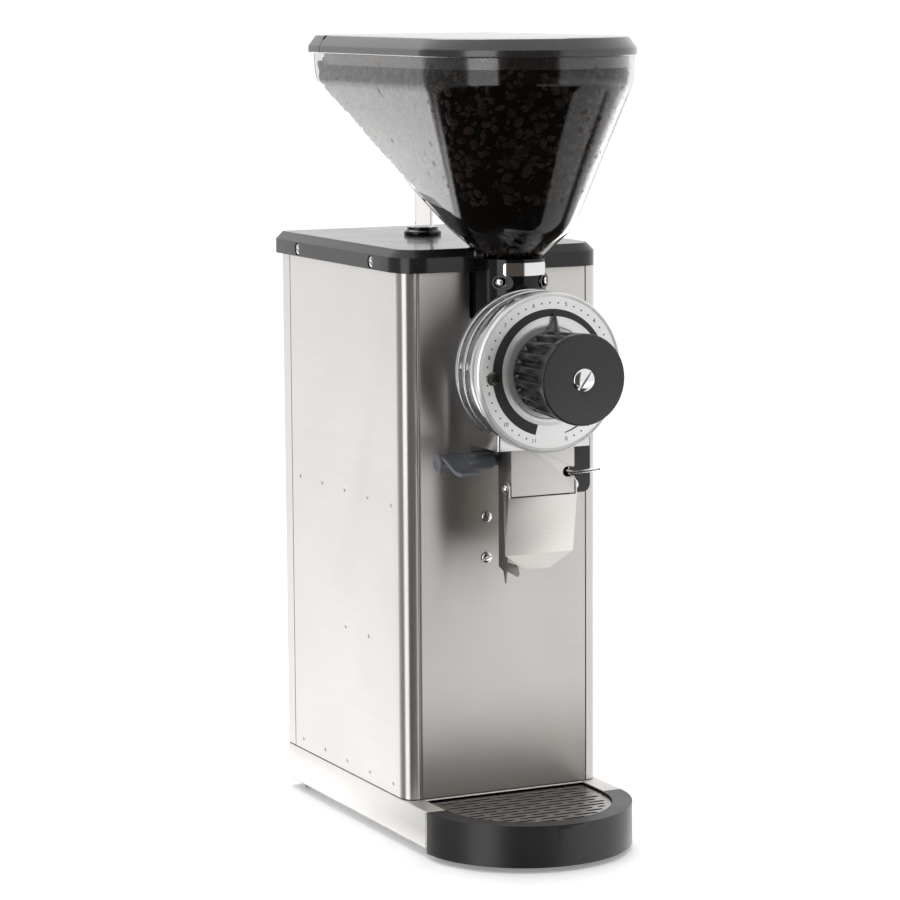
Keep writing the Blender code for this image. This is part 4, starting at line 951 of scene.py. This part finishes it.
def make_knob():
    """Fluted knob with a plain rim, its pointer and its screw."""
    box = Extent("adjustment_knob")
    screw = Extent("knob_screw")
    face = screw.y0 + 0.0025
    back = DIAL.y0 - 0.0010
    plain_rim = 0.0093
    rings = [knob_section(0.0300, 0.0, back), knob_section(0.0342, 0.0, back),
             knob_section(0.0350, 0.0, back - 0.0006)]
    first, last = back - 0.0012, face + plain_rim
    stages = 26
    for k in range(stages + 1):
        t = k / stages
        y = first + (last - first) * t
        from_end = min((y - last) / 0.0048, (first - y) / 0.0022, 1.0)
        depth = FLUTE_DEPTH * math.sqrt(max(0.0, 1.0 - (1.0 - max(0.0, from_end)) ** 2))
        rings.append(knob_section(KNOB_WAIST + (KNOB_RADIUS - KNOB_WAIST) * t * 0.9, depth, y))
    for k in range(7):
        angle = math.radians(15.0 * k)
        rings.append(knob_section(KNOB_RADIUS - KNOB_ROUND * (1 - math.cos(angle)), 0.0,
                                  face + KNOB_ROUND - KNOB_ROUND * math.sin(angle)))
    body = lofted(rings)
    body = cut(body, rod(0.0104, face - 0.01, face + 0.0016, steps=64))
    tip, half = box.z1 - AXIS_Z + 0.0022, 0.0078
    turn = math.radians(4.0)
    bm = bmesh.new()
    for along, across, y in ((tip, 0.0, back - 0.0012), (0.030, half, back - 0.0012),
                             (0.030, -half, back - 0.0012), (tip - 0.002, 0.0, back - 0.0026),
                             (0.033, 0.0016, back - 0.0060), (0.033, -0.0016, back - 0.0060)):
        x = along * math.sin(turn) + across * math.cos(turn)
        z = along * math.cos(turn) - across * math.sin(turn)
        bm.verts.new((x, y, AXIS_Z + z))
    bmesh.ops.convex_hull(bm, input=bm.verts)
    pointer = closed_mesh(bm)
    piece("fluted_knob", body, "knob_black", "knob", ("adjustment_knob",), smooth=70.0)
    piece("knob_pointer", pointer, "knob_black", "knob", bevel=0.0004)
    head = facing(pan_head(screw.x1, 0.0038, "slot", 64), (0.0, face + 0.0013, AXIS_Z),
                  (0.0, -1.0, 0.0), 0.95)
    piece("slotted_knob_screw", head, "chrome", "knob", ("knob_screw",))


# ---------------------------------------------------------------- throat and collar
COLLAR = Extent("throat_collar")
COLLAR_STEP = 0.4760        # underside of the collar over the drum
COLLAR_CENTRE = COLLAR.y0 + COLLAR.x1
LOCK_Z = Extent("hopper_lock_screw_left").z


def bent_plate(inner, outer, start, end, low, high, corner, steps=48):
    """Curved plate round the collar with rounded corners, angles in degrees."""
    bm = bmesh.new()
    slices = []
    length = math.radians(end - start) * outer
    for k in range(steps + 1):
        along = 0.5 - 0.5 * math.cos(math.pi * k / steps)
        from_end = min(along, 1.0 - along) * length
        inset = 0.0
        if from_end < corner:
            inset = corner - math.sqrt(max(0.0, corner ** 2 - (corner - from_end) ** 2))
        angle = math.radians(start + (end - start) * along)
        points = []
        for radius, z in ((outer, low + inset), (outer, high - inset), (inner, high - inset),
                          (inner, low + inset)):
            depth = COLLAR_CENTRE + radius * math.sin(angle)
            points.append(bm.verts.new((radius * math.cos(angle), depth, z)))
        slices.append(points)
    for first, second in neighbours(slices):
        bridge(bm, first, second)
    bm.faces.new(slices[0])
    bm.faces.new(slices[-1])
    return closed_mesh(bm)


def make_collar():
    """Gloss collar with an oval boss round each lock slot, the band and the lock screws."""
    half = COLLAR.x1
    outline = arc(0.0, COLLAR_CENTRE, half, 180, 360, FINE) + [(half, COLLAR.y1), (-half, COLLAR.y1)]
    skirt = arc(0.0, COLLAR_CENTRE, half, 180, 239.8, 40) + arc(0.0, COLLAR_CENTRE, half, 300.2, 360, 40)
    skirt += [(half, COLLAR.y1), (-half, COLLAR.y1)]
    collar = united(prism(outline, COLLAR_STEP, COLLAR.z1), prism(skirt, COLLAR.z0, COLLAR_STEP + 0.002))
    bosses, slots = [], []
    for side, name in SIDES:
        angle = math.radians(45.0)
        outward = Vector((side * math.sin(angle), -math.cos(angle), 0.0))
        middle = Vector((0.0, COLLAR_CENTRE, LOCK_Z))
        turn = Matrix.Translation(middle) @ Matrix.Rotation(side * angle, 4, "Z")
        boss = prism(stadium(0.0096, 0.0060, 16), -half - 0.0003, -half + 0.0060, "Y")
        slot = prism(stadium(0.0078, 0.0043, 16), -half - 0.0100, -half + 0.0040, "Y")
        boss.transform(turn)
        slot.transform(turn)
        bosses.append(boss)
        slots.append(slot)
        place_at = middle + Matrix.Rotation(side * math.radians(7.0), 3, "Z") @ outward * (half - 0.0012)
        head = facing(pan_head(0.0034, 0.0026, "cross"), place_at, outward, 0.3)
        piece(f"crosshead_lock_{name}", head, "chrome", stands_for=(f"hopper_lock_screw_{name}",))
    collar = cut(united(collar, *bosses), rod(0.0249, 0.45, 0.52, "Z", (0.0, -0.0210), 64), *slots)
    piece("gloss_collar", collar, "gloss_black", stands_for=("throat_collar",), bevel=0.0005, segments=3)
    band = Extent("throat_band")
    plate = bent_plate(half + 0.0003, half + 0.0012, 227, 313, band.z0 - 0.0008, band.z1 + 0.0008, 0.0026)
    piece("bright_band", plate, "chrome", stands_for=("throat_band",), bevel=0.0003)


# ---------------------------------------------------------------- hopper, beans and lid
# height, half width (also the front radius), centre of the front arc, rear wall, rear corner
HOPPER_LEVELS = (
    (0.4766, 0.0245, -0.0210, 0.0035, 0.0245),
    (0.5145, 0.0245, -0.0210, 0.0035, 0.0245),
    (0.5160, 0.0275, -0.0205, 0.0060, 0.0255),
    (0.5230, 0.0357, -0.0200, 0.0080, 0.0260),
    (0.5360, 0.0500, -0.0200, 0.0125, 0.0250),
    (0.5430, 0.0545, -0.0205, 0.0150, 0.0200),
    (0.5500, 0.0575, -0.0210, 0.0205, 0.0140),
    (0.6035, 0.0750, -0.0295, 0.1010, 0.0110),
    (0.6630, 0.0945, -0.0405, 0.1890, 0.0090),
    (0.6860, 0.0950, -0.0410, 0.1920, 0.0090),
)
HOPPER_WALL = 0.0030
BEAN_FLOOR = 0.5000
BEAN_LEVEL = 0.6840
BEAN_PITCH = 0.0060


def smooth_levels(levels, rounds=2, reach=0.0030):
    """Round the bends between levels by cutting each corner, the two ends staying."""
    rows = [Vector(level) for level in levels]
    for _ in range(rounds):
        finer = [rows[0]]
        for first, second in zip(rows, rows[1:]):
            part = min(0.25, reach / (second[0] - first[0]))
            finer += [first.lerp(second, part), first.lerp(second, 1.0 - part)]
        rows = finer + [rows[-1]]
    return rows


def level_at(z):
    """The hopper's plan at a height: half width, front centre, rear wall, rear corner."""
    for first, second in zip(HOPPER_LEVELS, HOPPER_LEVELS[1:]):
        if z <= second[0]:
            t = max(0.0, (z - first[0]) / (second[0] - first[0]))
            return [a + (b - a) * t for a, b in zip(first[1:], second[1:])]
    return list(HOPPER_LEVELS[-1][1:])


def hopper_ring(z, half, centre, rear, corner, inset):
    """One level of the hopper's wall, set in from its outside."""
    plan = d_outline(half - inset, centre, rear - inset, max(corner - inset, 0.0015), 64, 8)
    return [(x, y, z) for x, y in plan]


def make_hopper():
    """Clear hopper, the web behind it and the foot it stands on."""
    rows = smooth_levels(HOPPER_LEVELS)
    rings = [hopper_ring(*row, 0.0) for row in rows]
    rings += [hopper_ring(*row, HOPPER_WALL) for row in reversed(rows)]
    piece("clear_hopper", lofted(rings, hollow=True), "smoked_clear", stands_for=("hopper_shell",),
          smooth=50.0)
    foot = Extent("hopper_foot")
    gap = 0.0004
    web_low = foot.z1 + gap
    web = [(0.1000, 0.5900 - gap), (0.1000, 0.5985 - gap), (0.1750, 0.6680 - gap), (0.1750, web_low),
           (foot.y - 0.020, web_low), (foot.y - 0.020, 0.5500)]
    web = [(y, min(z, back_wall_height(y) - 0.0008)) for y, z in web]
    piece("hopper_web", prism(softened(web, 0.003, 4, True), -0.0015, 0.0015, "X"), "smoked_clear",
          bevel=0.0004)
    radius = (foot.x1 - foot.x0) / 2
    neck = radius - 0.0030
    profile = [(0.0, foot.z0), (radius, foot.z0), (radius, foot.z0 + 0.0032),
               (radius - 0.0012, foot.z0 + 0.0036), (neck, foot.z0 + 0.0050), (neck, foot.z1), (0.0, foot.z1)]
    piece("stepped_foot", turned(softened(profile, 0.0006), "Z", (foot.x, foot.y), 64), "gloss_black",
          stands_for=("hopper_foot",))


def back_wall_height(y):
    """Height of the outside of the sloping back wall at a depth."""
    for first, second in zip(HOPPER_LEVELS[6:], HOPPER_LEVELS[7:]):
        if y <= second[3]:
            t = (y - first[3]) / (second[3] - first[3])
            return first[0] + (second[0] - first[0]) * t
    return HOPPER_LEVELS[-1][0]


def bean_shape(rings=7, around=10):
    """One bean lying flat: rounded back, flatter belly and a crease along it."""
    long, wide, thick = 0.0052, 0.0037, 0.0025
    points = []
    for i in range(rings + 1):
        polar = math.pi * i / rings
        if i in (0, rings):
            points.append(Vector((long * math.cos(polar), 0.0, 0.0)))
            continue
        for k in range(around):
            angle = TAU * k / around
            x = long * math.cos(polar)
            y = wide * math.sin(polar) * math.cos(angle)
            z = thick * math.sin(polar) * math.sin(angle)
            if z < 0:
                z *= 0.45
                z += 0.0012 * math.exp(-(y / 0.0008) ** 2) * math.sin(polar)
            points.append(Vector((x, y, z)))
    faces = []
    for k in range(around):
        j = (k + 1) % around
        faces.append((0, 1 + k, 1 + j))
        for ring in range(rings - 2):
            a = 1 + ring * around
            faces.append((a + k, a + around + k, a + around + j, a + j))
        end = 1 + (rings - 2) * around
        faces.append((end + j, end + k, len(points) - 1))
    return points, faces


def inside_depth(x, y, z):
    """How far a point lies inside the hopper's inner wall, measured level."""
    half, centre, rear, _ = level_at(z)
    half -= HOPPER_WALL
    rear -= HOPPER_WALL
    if y < centre:
        return half - math.hypot(x, y - centre)
    return min(half - abs(x), rear - y)


def wall_direction(x, y, height):
    """Level vector from a point in the hopper towards its nearest wall."""
    step = 0.002
    return Vector((inside_depth(x - step, y, height) - inside_depth(x + step, y, height),
                   inside_depth(x, y - step, height) - inside_depth(x, y + step, height), 0.0))


def scattered_beans(dice):
    """Places on a jittered lattice, each with its depth inside the wall."""
    layer_height = BEAN_PITCH * 0.72
    for iz in range(int((BEAN_LEVEL - BEAN_FLOOR) / layer_height)):
        for iy in range(-26, 37):
            for ix in range(-17, 18):
                x = (ix + 0.5 * (iy % 2)) * BEAN_PITCH + dice.uniform(-0.0016, 0.0016)
                y = (iy + 0.5 * (iz % 2)) * BEAN_PITCH * 0.9 + dice.uniform(-0.0016, 0.0016)
                z = BEAN_FLOOR + iz * BEAN_PITCH * 0.72 + dice.uniform(-0.0014, 0.0014)
                yield x, y, z, inside_depth(x, y, z)


def make_beans():
    """Roasted beans along the clear wall and level on top, over a near-black core that fills the rest: it
    stands for the deeper beans and is painted shade in the gaps between them.
    """
    dice = random.Random(11)
    shape, faces = bean_shape()
    points, all_faces = [], []
    nearest, nearest_in_throat, farthest = 0.0025, 0.0055, 0.0080
    for x, y, height, depth in scattered_beans(dice):
        on_top = height > BEAN_LEVEL - 0.0100
        if depth < (nearest if height > 0.565 else nearest_in_throat) or (depth > farthest and not on_top):
            continue
        outward = wall_direction(x, y, height)
        if on_top and depth > 0.0100 or outward.length == 0.0:
            outward = Vector((0.0, 0.0, 1.0))
        outward += Vector([dice.uniform(-0.45, 0.45) * outward.length for _ in range(3)])
        outward *= dice.choice((-1.0, 1.0, 1.0))
        tilt = Vector((0.0, 0.0, -1.0)).rotation_difference(outward).to_matrix()
        turn = tilt @ Matrix.Rotation(dice.uniform(0, TAU), 3, "Z")
        size = dice.uniform(0.85, 1.12)
        offset = len(points)
        where = Vector((x, y, height))
        points += [tuple(where + turn @ (p * size)) for p in shape]
        all_faces += [tuple(index + offset for index in face) for face in faces]
    mesh = bpy.data.meshes.new("beans")
    mesh.from_pydata(points, [], all_faces)
    core_top = BEAN_LEVEL - 0.0075
    rows = [row for row in smooth_levels(HOPPER_LEVELS, 1) if 0.5230 <= row[0] <= BEAN_LEVEL - 0.012]
    rows.append((core_top, *level_at(core_top)))
    core = lofted([hopper_ring(*row, HOPPER_WALL + 0.0024) for row in rows])
    piece("coffee_beans", mesh, "beans", smooth=60.0)
    piece("bean_shadow_core", core, "bean_shadow", smooth=60.0)


LID = Extent("lid")
LID_CAP = Extent("lid_rear_cap")
SEAM = (LID.y1 + LID_CAP.y0) / 2


def lid_ring(inset, z):
    """One level of the full lid outline, set in from its edge."""
    plan = d_outline(LID.x1 - inset, LID.y0 + LID.x1, LID_CAP.y1 - inset, max(0.011 - inset, 0.002))
    return [(x, y, z) for x, y in plan]


def full_lid(with_skirt):
    """The lid and its fixed rear part as one shape, before the seam divides them."""
    low, high = LID_CAP.z0, LID.z1
    edge = low + 0.0061
    under = high - 0.0060
    section = [(0.0064, low), (0.0, low), (0.0, edge), (0.0070, high - 0.0006), (0.020, high)]
    section = softened(section, 0.0012, 4)
    if with_skirt:
        inside = [(0.0100, under), (0.0088, under - 0.001), (0.0088, LID.z0), (0.0064, LID.z0)]
    else:
        inside = [(0.0100, under)]
    return lofted([lid_ring(d, z) for d, z in inside + section])


def make_lid():
    """The hinged lid and its fixed rear part, with the hinge pin's hole through both."""
    pin = Extent("lid_hinge_pin")
    seam_gap = 0.0004
    hole = rod(0.0018, -0.2, 0.2, "X", (pin.y, pin.z), 24)
    lid = cut(full_lid(True), block(-0.2, 0.2, SEAM - seam_gap, 0.3, 0.6, 0.8), hole)
    cap = cut(full_lid(False), block(-0.2, 0.2, -0.3, SEAM + seam_gap, 0.6, 0.8),
              block(-0.2, 0.2, SEAM, SEAM + 0.0030, pin.z - 0.0024, 0.8), hole)
    piece("hinged_lid", lid, "lid_plastic", "lid", ("lid",), bevel=0.0003)
    piece("fixed_lid_cap", cap, "lid_plastic", stands_for=("lid_rear_cap",),
          bevel=0.0003)


# ---------------------------------------------------------------- chute, flap and lever
def make_chute():
    """Chute cover with its keyhole, duct, flap, domed rivets and the spring wire."""
    cover = Extent("chute_cover")
    keyhole = [(u + cover.x1 - 0.0050, v + 0.3340) for u, v in stadium(0.0060, 0.0045)]
    mesh = cut(cad_mesh("chute_cover"), prism(keyhole, cover.y0 - 0.01, cover.y1 - 0.001, "Y"))
    piece("chute_face", mesh, "stainless", stands_for=("chute_cover",), bevel=0.0004, segments=3)
    refined("chute_duct", "stainless", bevel=0.0004, segments=3)
    refined("chute_flap", "flap_steel", "flap", bevel=0.0006, segments=3)
    shank_radius, head_radius = 0.0020, 0.0042
    for side, hand in SIDES:
        name = f"flap_rivet_{hand}"
        box = Extent(name)
        base = box.x0 if side > 0 else box.x1
        shank = Extent("chute_flap").x1 + 0.0003 - abs(base)
        profile = [(0.0, 0.0), (shank_radius, 0.0), (shank_radius, shank), (head_radius, shank)]
        profile += dome(head_radius, shank + 0.0004, 0.0030)
        rivet = facing(turned(profile, "Z", (0.0, 0.0), 40), (base, box.y, box.z), (side, 0.0, 0.0))
        piece(f"domed_{name}", rivet, "chrome", stands_for=(name,))
    make_wire()


def make_wire():
    """Bent wire that hooks through the keyhole in the chute cover."""
    box = Extent("flap_spring_wire")
    radius = 0.0014
    route = [Vector((box.x0, box.y1 - radius, 0.3345)), Vector((0.0290, -0.0752, 0.3330)),
             Vector((0.0380, -0.0792, 0.3336)), Vector((box.x1, box.y0 + radius, 0.3350))]
    curve = bpy.data.curves.new("wire", "CURVE")
    curve.dimensions = "3D"
    curve.bevel_depth = radius
    curve.bevel_resolution = 5
    curve.use_fill_caps = True
    spline = curve.splines.new("BEZIER")
    spline.bezier_points.add(len(route) - 1)
    for point, place_at in zip(spline.bezier_points, route):
        point.co = place_at
        point.handle_left_type = "AUTO"
        point.handle_right_type = "AUTO"
    piece("spring_wire", mesh_of_curve(curve), "chrome", stands_for=("flap_spring_wire",), smooth=60.0)


def make_lever():
    """Cleaning lever: flared hub, thinner cross shaft and a curved thumb blade."""
    box = Extent("cleaning_lever")
    axis = (-0.0420, 0.3430)
    hub, hub_end = 0.0088, -0.0315
    profile = [(0.0, box.x0 + 0.0006), (hub * 0.70, box.x0), (hub, box.x0 + 0.0004), (hub, box.x0 + 0.0016),
               (hub * 0.86, box.x0 + 0.0065), (hub * 0.84, hub_end), (0.0050, hub_end), (0.0050, box.x1),
               (0.0, box.x1)]
    shaft = turned(softened(profile, 0.0010), "X", axis, 64)
    y, z = axis
    top = [(y + 0.001, z + 0.0086), (y - 0.012, z + 0.0066), (y - 0.024, z + 0.0018), (y - 0.033, z - 0.0022),
           (y - 0.046, z - 0.0022)]
    curve = softened(softened(top, 0.006, 4), 0.002, 2)
    blade = prism(softened(sheet_outline(curve, 0.0032), 0.0009, 2, True), box.x0 + 0.0012,
                  box.x0 + 0.0190, "X")
    piece("thumb_lever", united(shaft, blade), "grey_lever", "lever", ("cleaning_lever",), smooth=40.0)
    refined("knocker_arm", "soft_black", "lever", bevel=0.0007, segments=3)
    refined("lever_bracket", "galvanised", bevel=0.0004)


def make_switch():
    refined("switch_body", "soft_black", bevel=0.0006, segments=3)
    refined("switch_rocker", "gloss_black", "rocker", bevel=0.0006, segments=3)


def dress_the_rest():
    """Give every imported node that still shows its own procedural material."""
    slots = {part["node"]: part["material_slot"] for part in frame["record"]["subparts"]}
    for name, packed in frame["nodes"].items():
        if packed.hide_render:
            continue
        look = LOOKS["stainless_flat" if slots[name] == "stainless" else slots[name]]
        if not packed.material_slots:
            packed.data.materials.append(look)
        for material_slot in packed.material_slots:
            material_slot.material = look


# ---------------------------------------------------------------- studio
YAW = math.radians(25.467)
PITCH = math.radians(7.888)
ROLL = math.radians(-0.370)
CAMERA_AT = (-1.2933, -2.6093 + PANEL_Y, 0.7483)
CAMERA_LENS = 135.16


def make_camera():
    """Long lens from the front left, slightly above."""
    forward = Vector((math.sin(YAW) * math.cos(PITCH), math.cos(YAW) * math.cos(PITCH), -math.sin(PITCH)))
    level = Vector((math.cos(YAW), -math.sin(YAW), 0.0))
    up = level.cross(forward)
    right = math.cos(ROLL) * level + math.sin(ROLL) * up
    top = math.cos(ROLL) * up - math.sin(ROLL) * level
    lens = bpy.data.cameras.new("camera")
    lens.lens = CAMERA_LENS
    lens.sensor_width = 36.0
    camera = in_scene("camera", lens)
    turn = Matrix((right, top, -forward)).transposed().to_4x4()
    camera.matrix_world = Matrix.Translation(CAMERA_AT) @ turn
    bpy.context.scene.camera = camera


def compass(degrees):
    """Level direction: 0 is straight ahead of the grinder, positive to its own right (+X)."""
    angle = math.radians(degrees)
    return Vector((math.sin(angle), -math.cos(angle), 0.0))


def make_world():
    """White studio seen by the camera; what mirrors and lights the grinder has dark and bright zones.

    Each zone covers the ones before it.  Low zones are below the horizon, and upright zones
    reach from a little below it to well above it.
    """
    world = bpy.data.worlds.new("studio")
    world.use_nodes = True
    bpy.context.scene.world = world
    tree = world.node_tree
    ray = node(tree, "ShaderNodeTexCoord").outputs["Generated"]
    parts = node(tree, "ShaderNodeSeparateXYZ", {"Vector": ray})
    level = node(tree, "ShaderNodeCombineXYZ", {"X": parts.outputs["X"], "Y": parts.outputs["Y"]})
    level = node(tree, "ShaderNodeVectorMath", {0: level.outputs["Vector"]}, operation="NORMALIZE")

    def towards(degrees, soft_start, soft_end):
        """1 towards a compass direction, falling to 0 away from it."""
        along = node(tree, "ShaderNodeVectorMath", {0: level.outputs["Vector"], 1: compass(degrees)},
                     operation="DOT_PRODUCT").outputs["Value"]
        return smooth_step(tree, along, math.cos(math.radians(soft_end)), math.cos(math.radians(soft_start)))

    def rising(start, end):
        """0 below the first height of the sky and 1 above the second."""
        return smooth_step(tree, parts.outputs["Z"], start, end)

    def times(first, second):
        """One factor times another."""
        return node(tree, "ShaderNodeMath", {0: first, 1: second}, operation="MULTIPLY").outputs[0]

    def less(first, second):
        """One factor less another."""
        return node(tree, "ShaderNodeMath", {0: first, 1: second}, operation="SUBTRACT").outputs[0]

    def below(start, end):
        """1 below the first height of the sky and 0 above the second."""
        return less(1.0, rising(start, end))

    upright = less(rising(-0.45, -0.35), rising(0.30, 0.70))
    low = below(-0.52, -0.43)
    unlit = (0.05, 0.045, 0.04)
    zones = ((below(-0.40, -0.12), (3.0, 3.0, 3.0)),
             (times(towards(25.0, 80.0, 100.0), below(-0.42, -0.12)), (1.05, 1.04, 1.03)),
             (times(towards(-47.5, 88.0, 93.0), low), unlit),
             (times(towards(-75.0, 62.0, 67.0), below(-0.36, -0.30)), unlit),
             (times(towards(107.0, 18.0, 24.0), low), unlit),
             (times(towards(-119.0, 28.0, 36.0), upright), (0.36, 0.36, 0.36)),
             (times(towards(-67.5, 14.0, 19.0), upright), (2.4, 2.4, 2.4)),
             (times(towards(-19.5, 29.0, 35.0), upright), (0.085, 0.070, 0.060)),
             (below(-0.92, -0.82), (0.10, 0.095, 0.09)))
    colour = (1.0, 1.0, 1.0)
    for factor, tone in zones:
        colour = blend_colours(tree, factor, colour, tone)
    shine = node(tree, "ShaderNodeBackground", {"Color": colour, "Strength": 1.0})
    seen = node(tree, "ShaderNodeBackground", {"Color": (1.0, 1.0, 1.0, 1.0), "Strength": 1.05})
    light_path = node(tree, "ShaderNodeLightPath")
    mix = node(tree, "ShaderNodeMixShader", {0: light_path.outputs["Is Camera Ray"]})
    tree.links.new(shine.outputs["Background"], mix.inputs[1])
    tree.links.new(seen.outputs["Background"], mix.inputs[2])
    tree.nodes["Background"].mute = True
    tree.links.new(mix.outputs["Shader"], tree.nodes["World Output"].inputs["Surface"])


def make_top_light():
    """Square soft light high behind the grinder, aimed at its middle."""
    light = bpy.data.lights.new("top_light", "AREA")
    light.shape = "RECTANGLE"
    light.size = 1.8
    light.size_y = 1.8
    light.energy = 40.0
    lamp = in_scene("top_light", light)
    distance, height = 1.2, 2.6
    at = compass(170.0) * distance + Vector((0.0, 0.0, height))
    aim = Vector((0.0, -0.05, 0.38)) - at
    lamp.matrix_world = Matrix.Translation(at) @ aim.to_track_quat("-Z", "Y").to_matrix().to_4x4()
    lamp.visible_camera = False


def make_floor():
    """Plain pale floor, left out of mirrored and refracted views, where the world shows instead."""
    material, tree, shader = shader_of("pale_floor", specular_ior_level=0.1, emission_strength=0.22)
    clouds = spread(tree, noise_at(tree, 3.0), 0.0, 1.0)
    feed(tree, shader, base_color=blend_colours(tree, clouds, (0.93, 0.93, 0.93), (0.95, 0.95, 0.95)),
         roughness=spread(tree, noise_at(tree, 40.0), 0.6, 0.7))
    size = 12.0
    mesh = bpy.data.meshes.new("floor")
    mesh.from_pydata([(-size, -size, 0.0), (size, -size, 0.0), (size, size, 0.0), (-size, size, 0.0)], [],
                     [(0, 1, 2, 3)])
    mesh.materials.append(material)
    floor = in_scene("floor", mesh)
    floor.visible_glossy = False
    floor.visible_transmission = False
    floor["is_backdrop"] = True


def main():
    make_camera()
    make_base()
    make_tray()
    make_grille()
    make_side_panels()
    make_front_panel()
    make_rear()
    make_top_cover()
    make_panel_screws()
    make_head()
    make_dial()
    make_knob()
    make_collar()
    make_hopper()
    make_beans()
    make_lid()
    make_chute()
    make_lever()
    make_switch()
    dress_the_rest()
    make_world()
    make_top_light()
    make_floor()
    bpy.context.scene.view_settings.view_transform = "Standard"


def save_sizes():
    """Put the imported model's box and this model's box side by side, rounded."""
    boxes = {"cad": CAD_BOX, "visual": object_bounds()}
    plain = {key: [[round(c, 6) for c in corner] for corner in box] for key, box in boxes.items()}


main()
save_sizes()
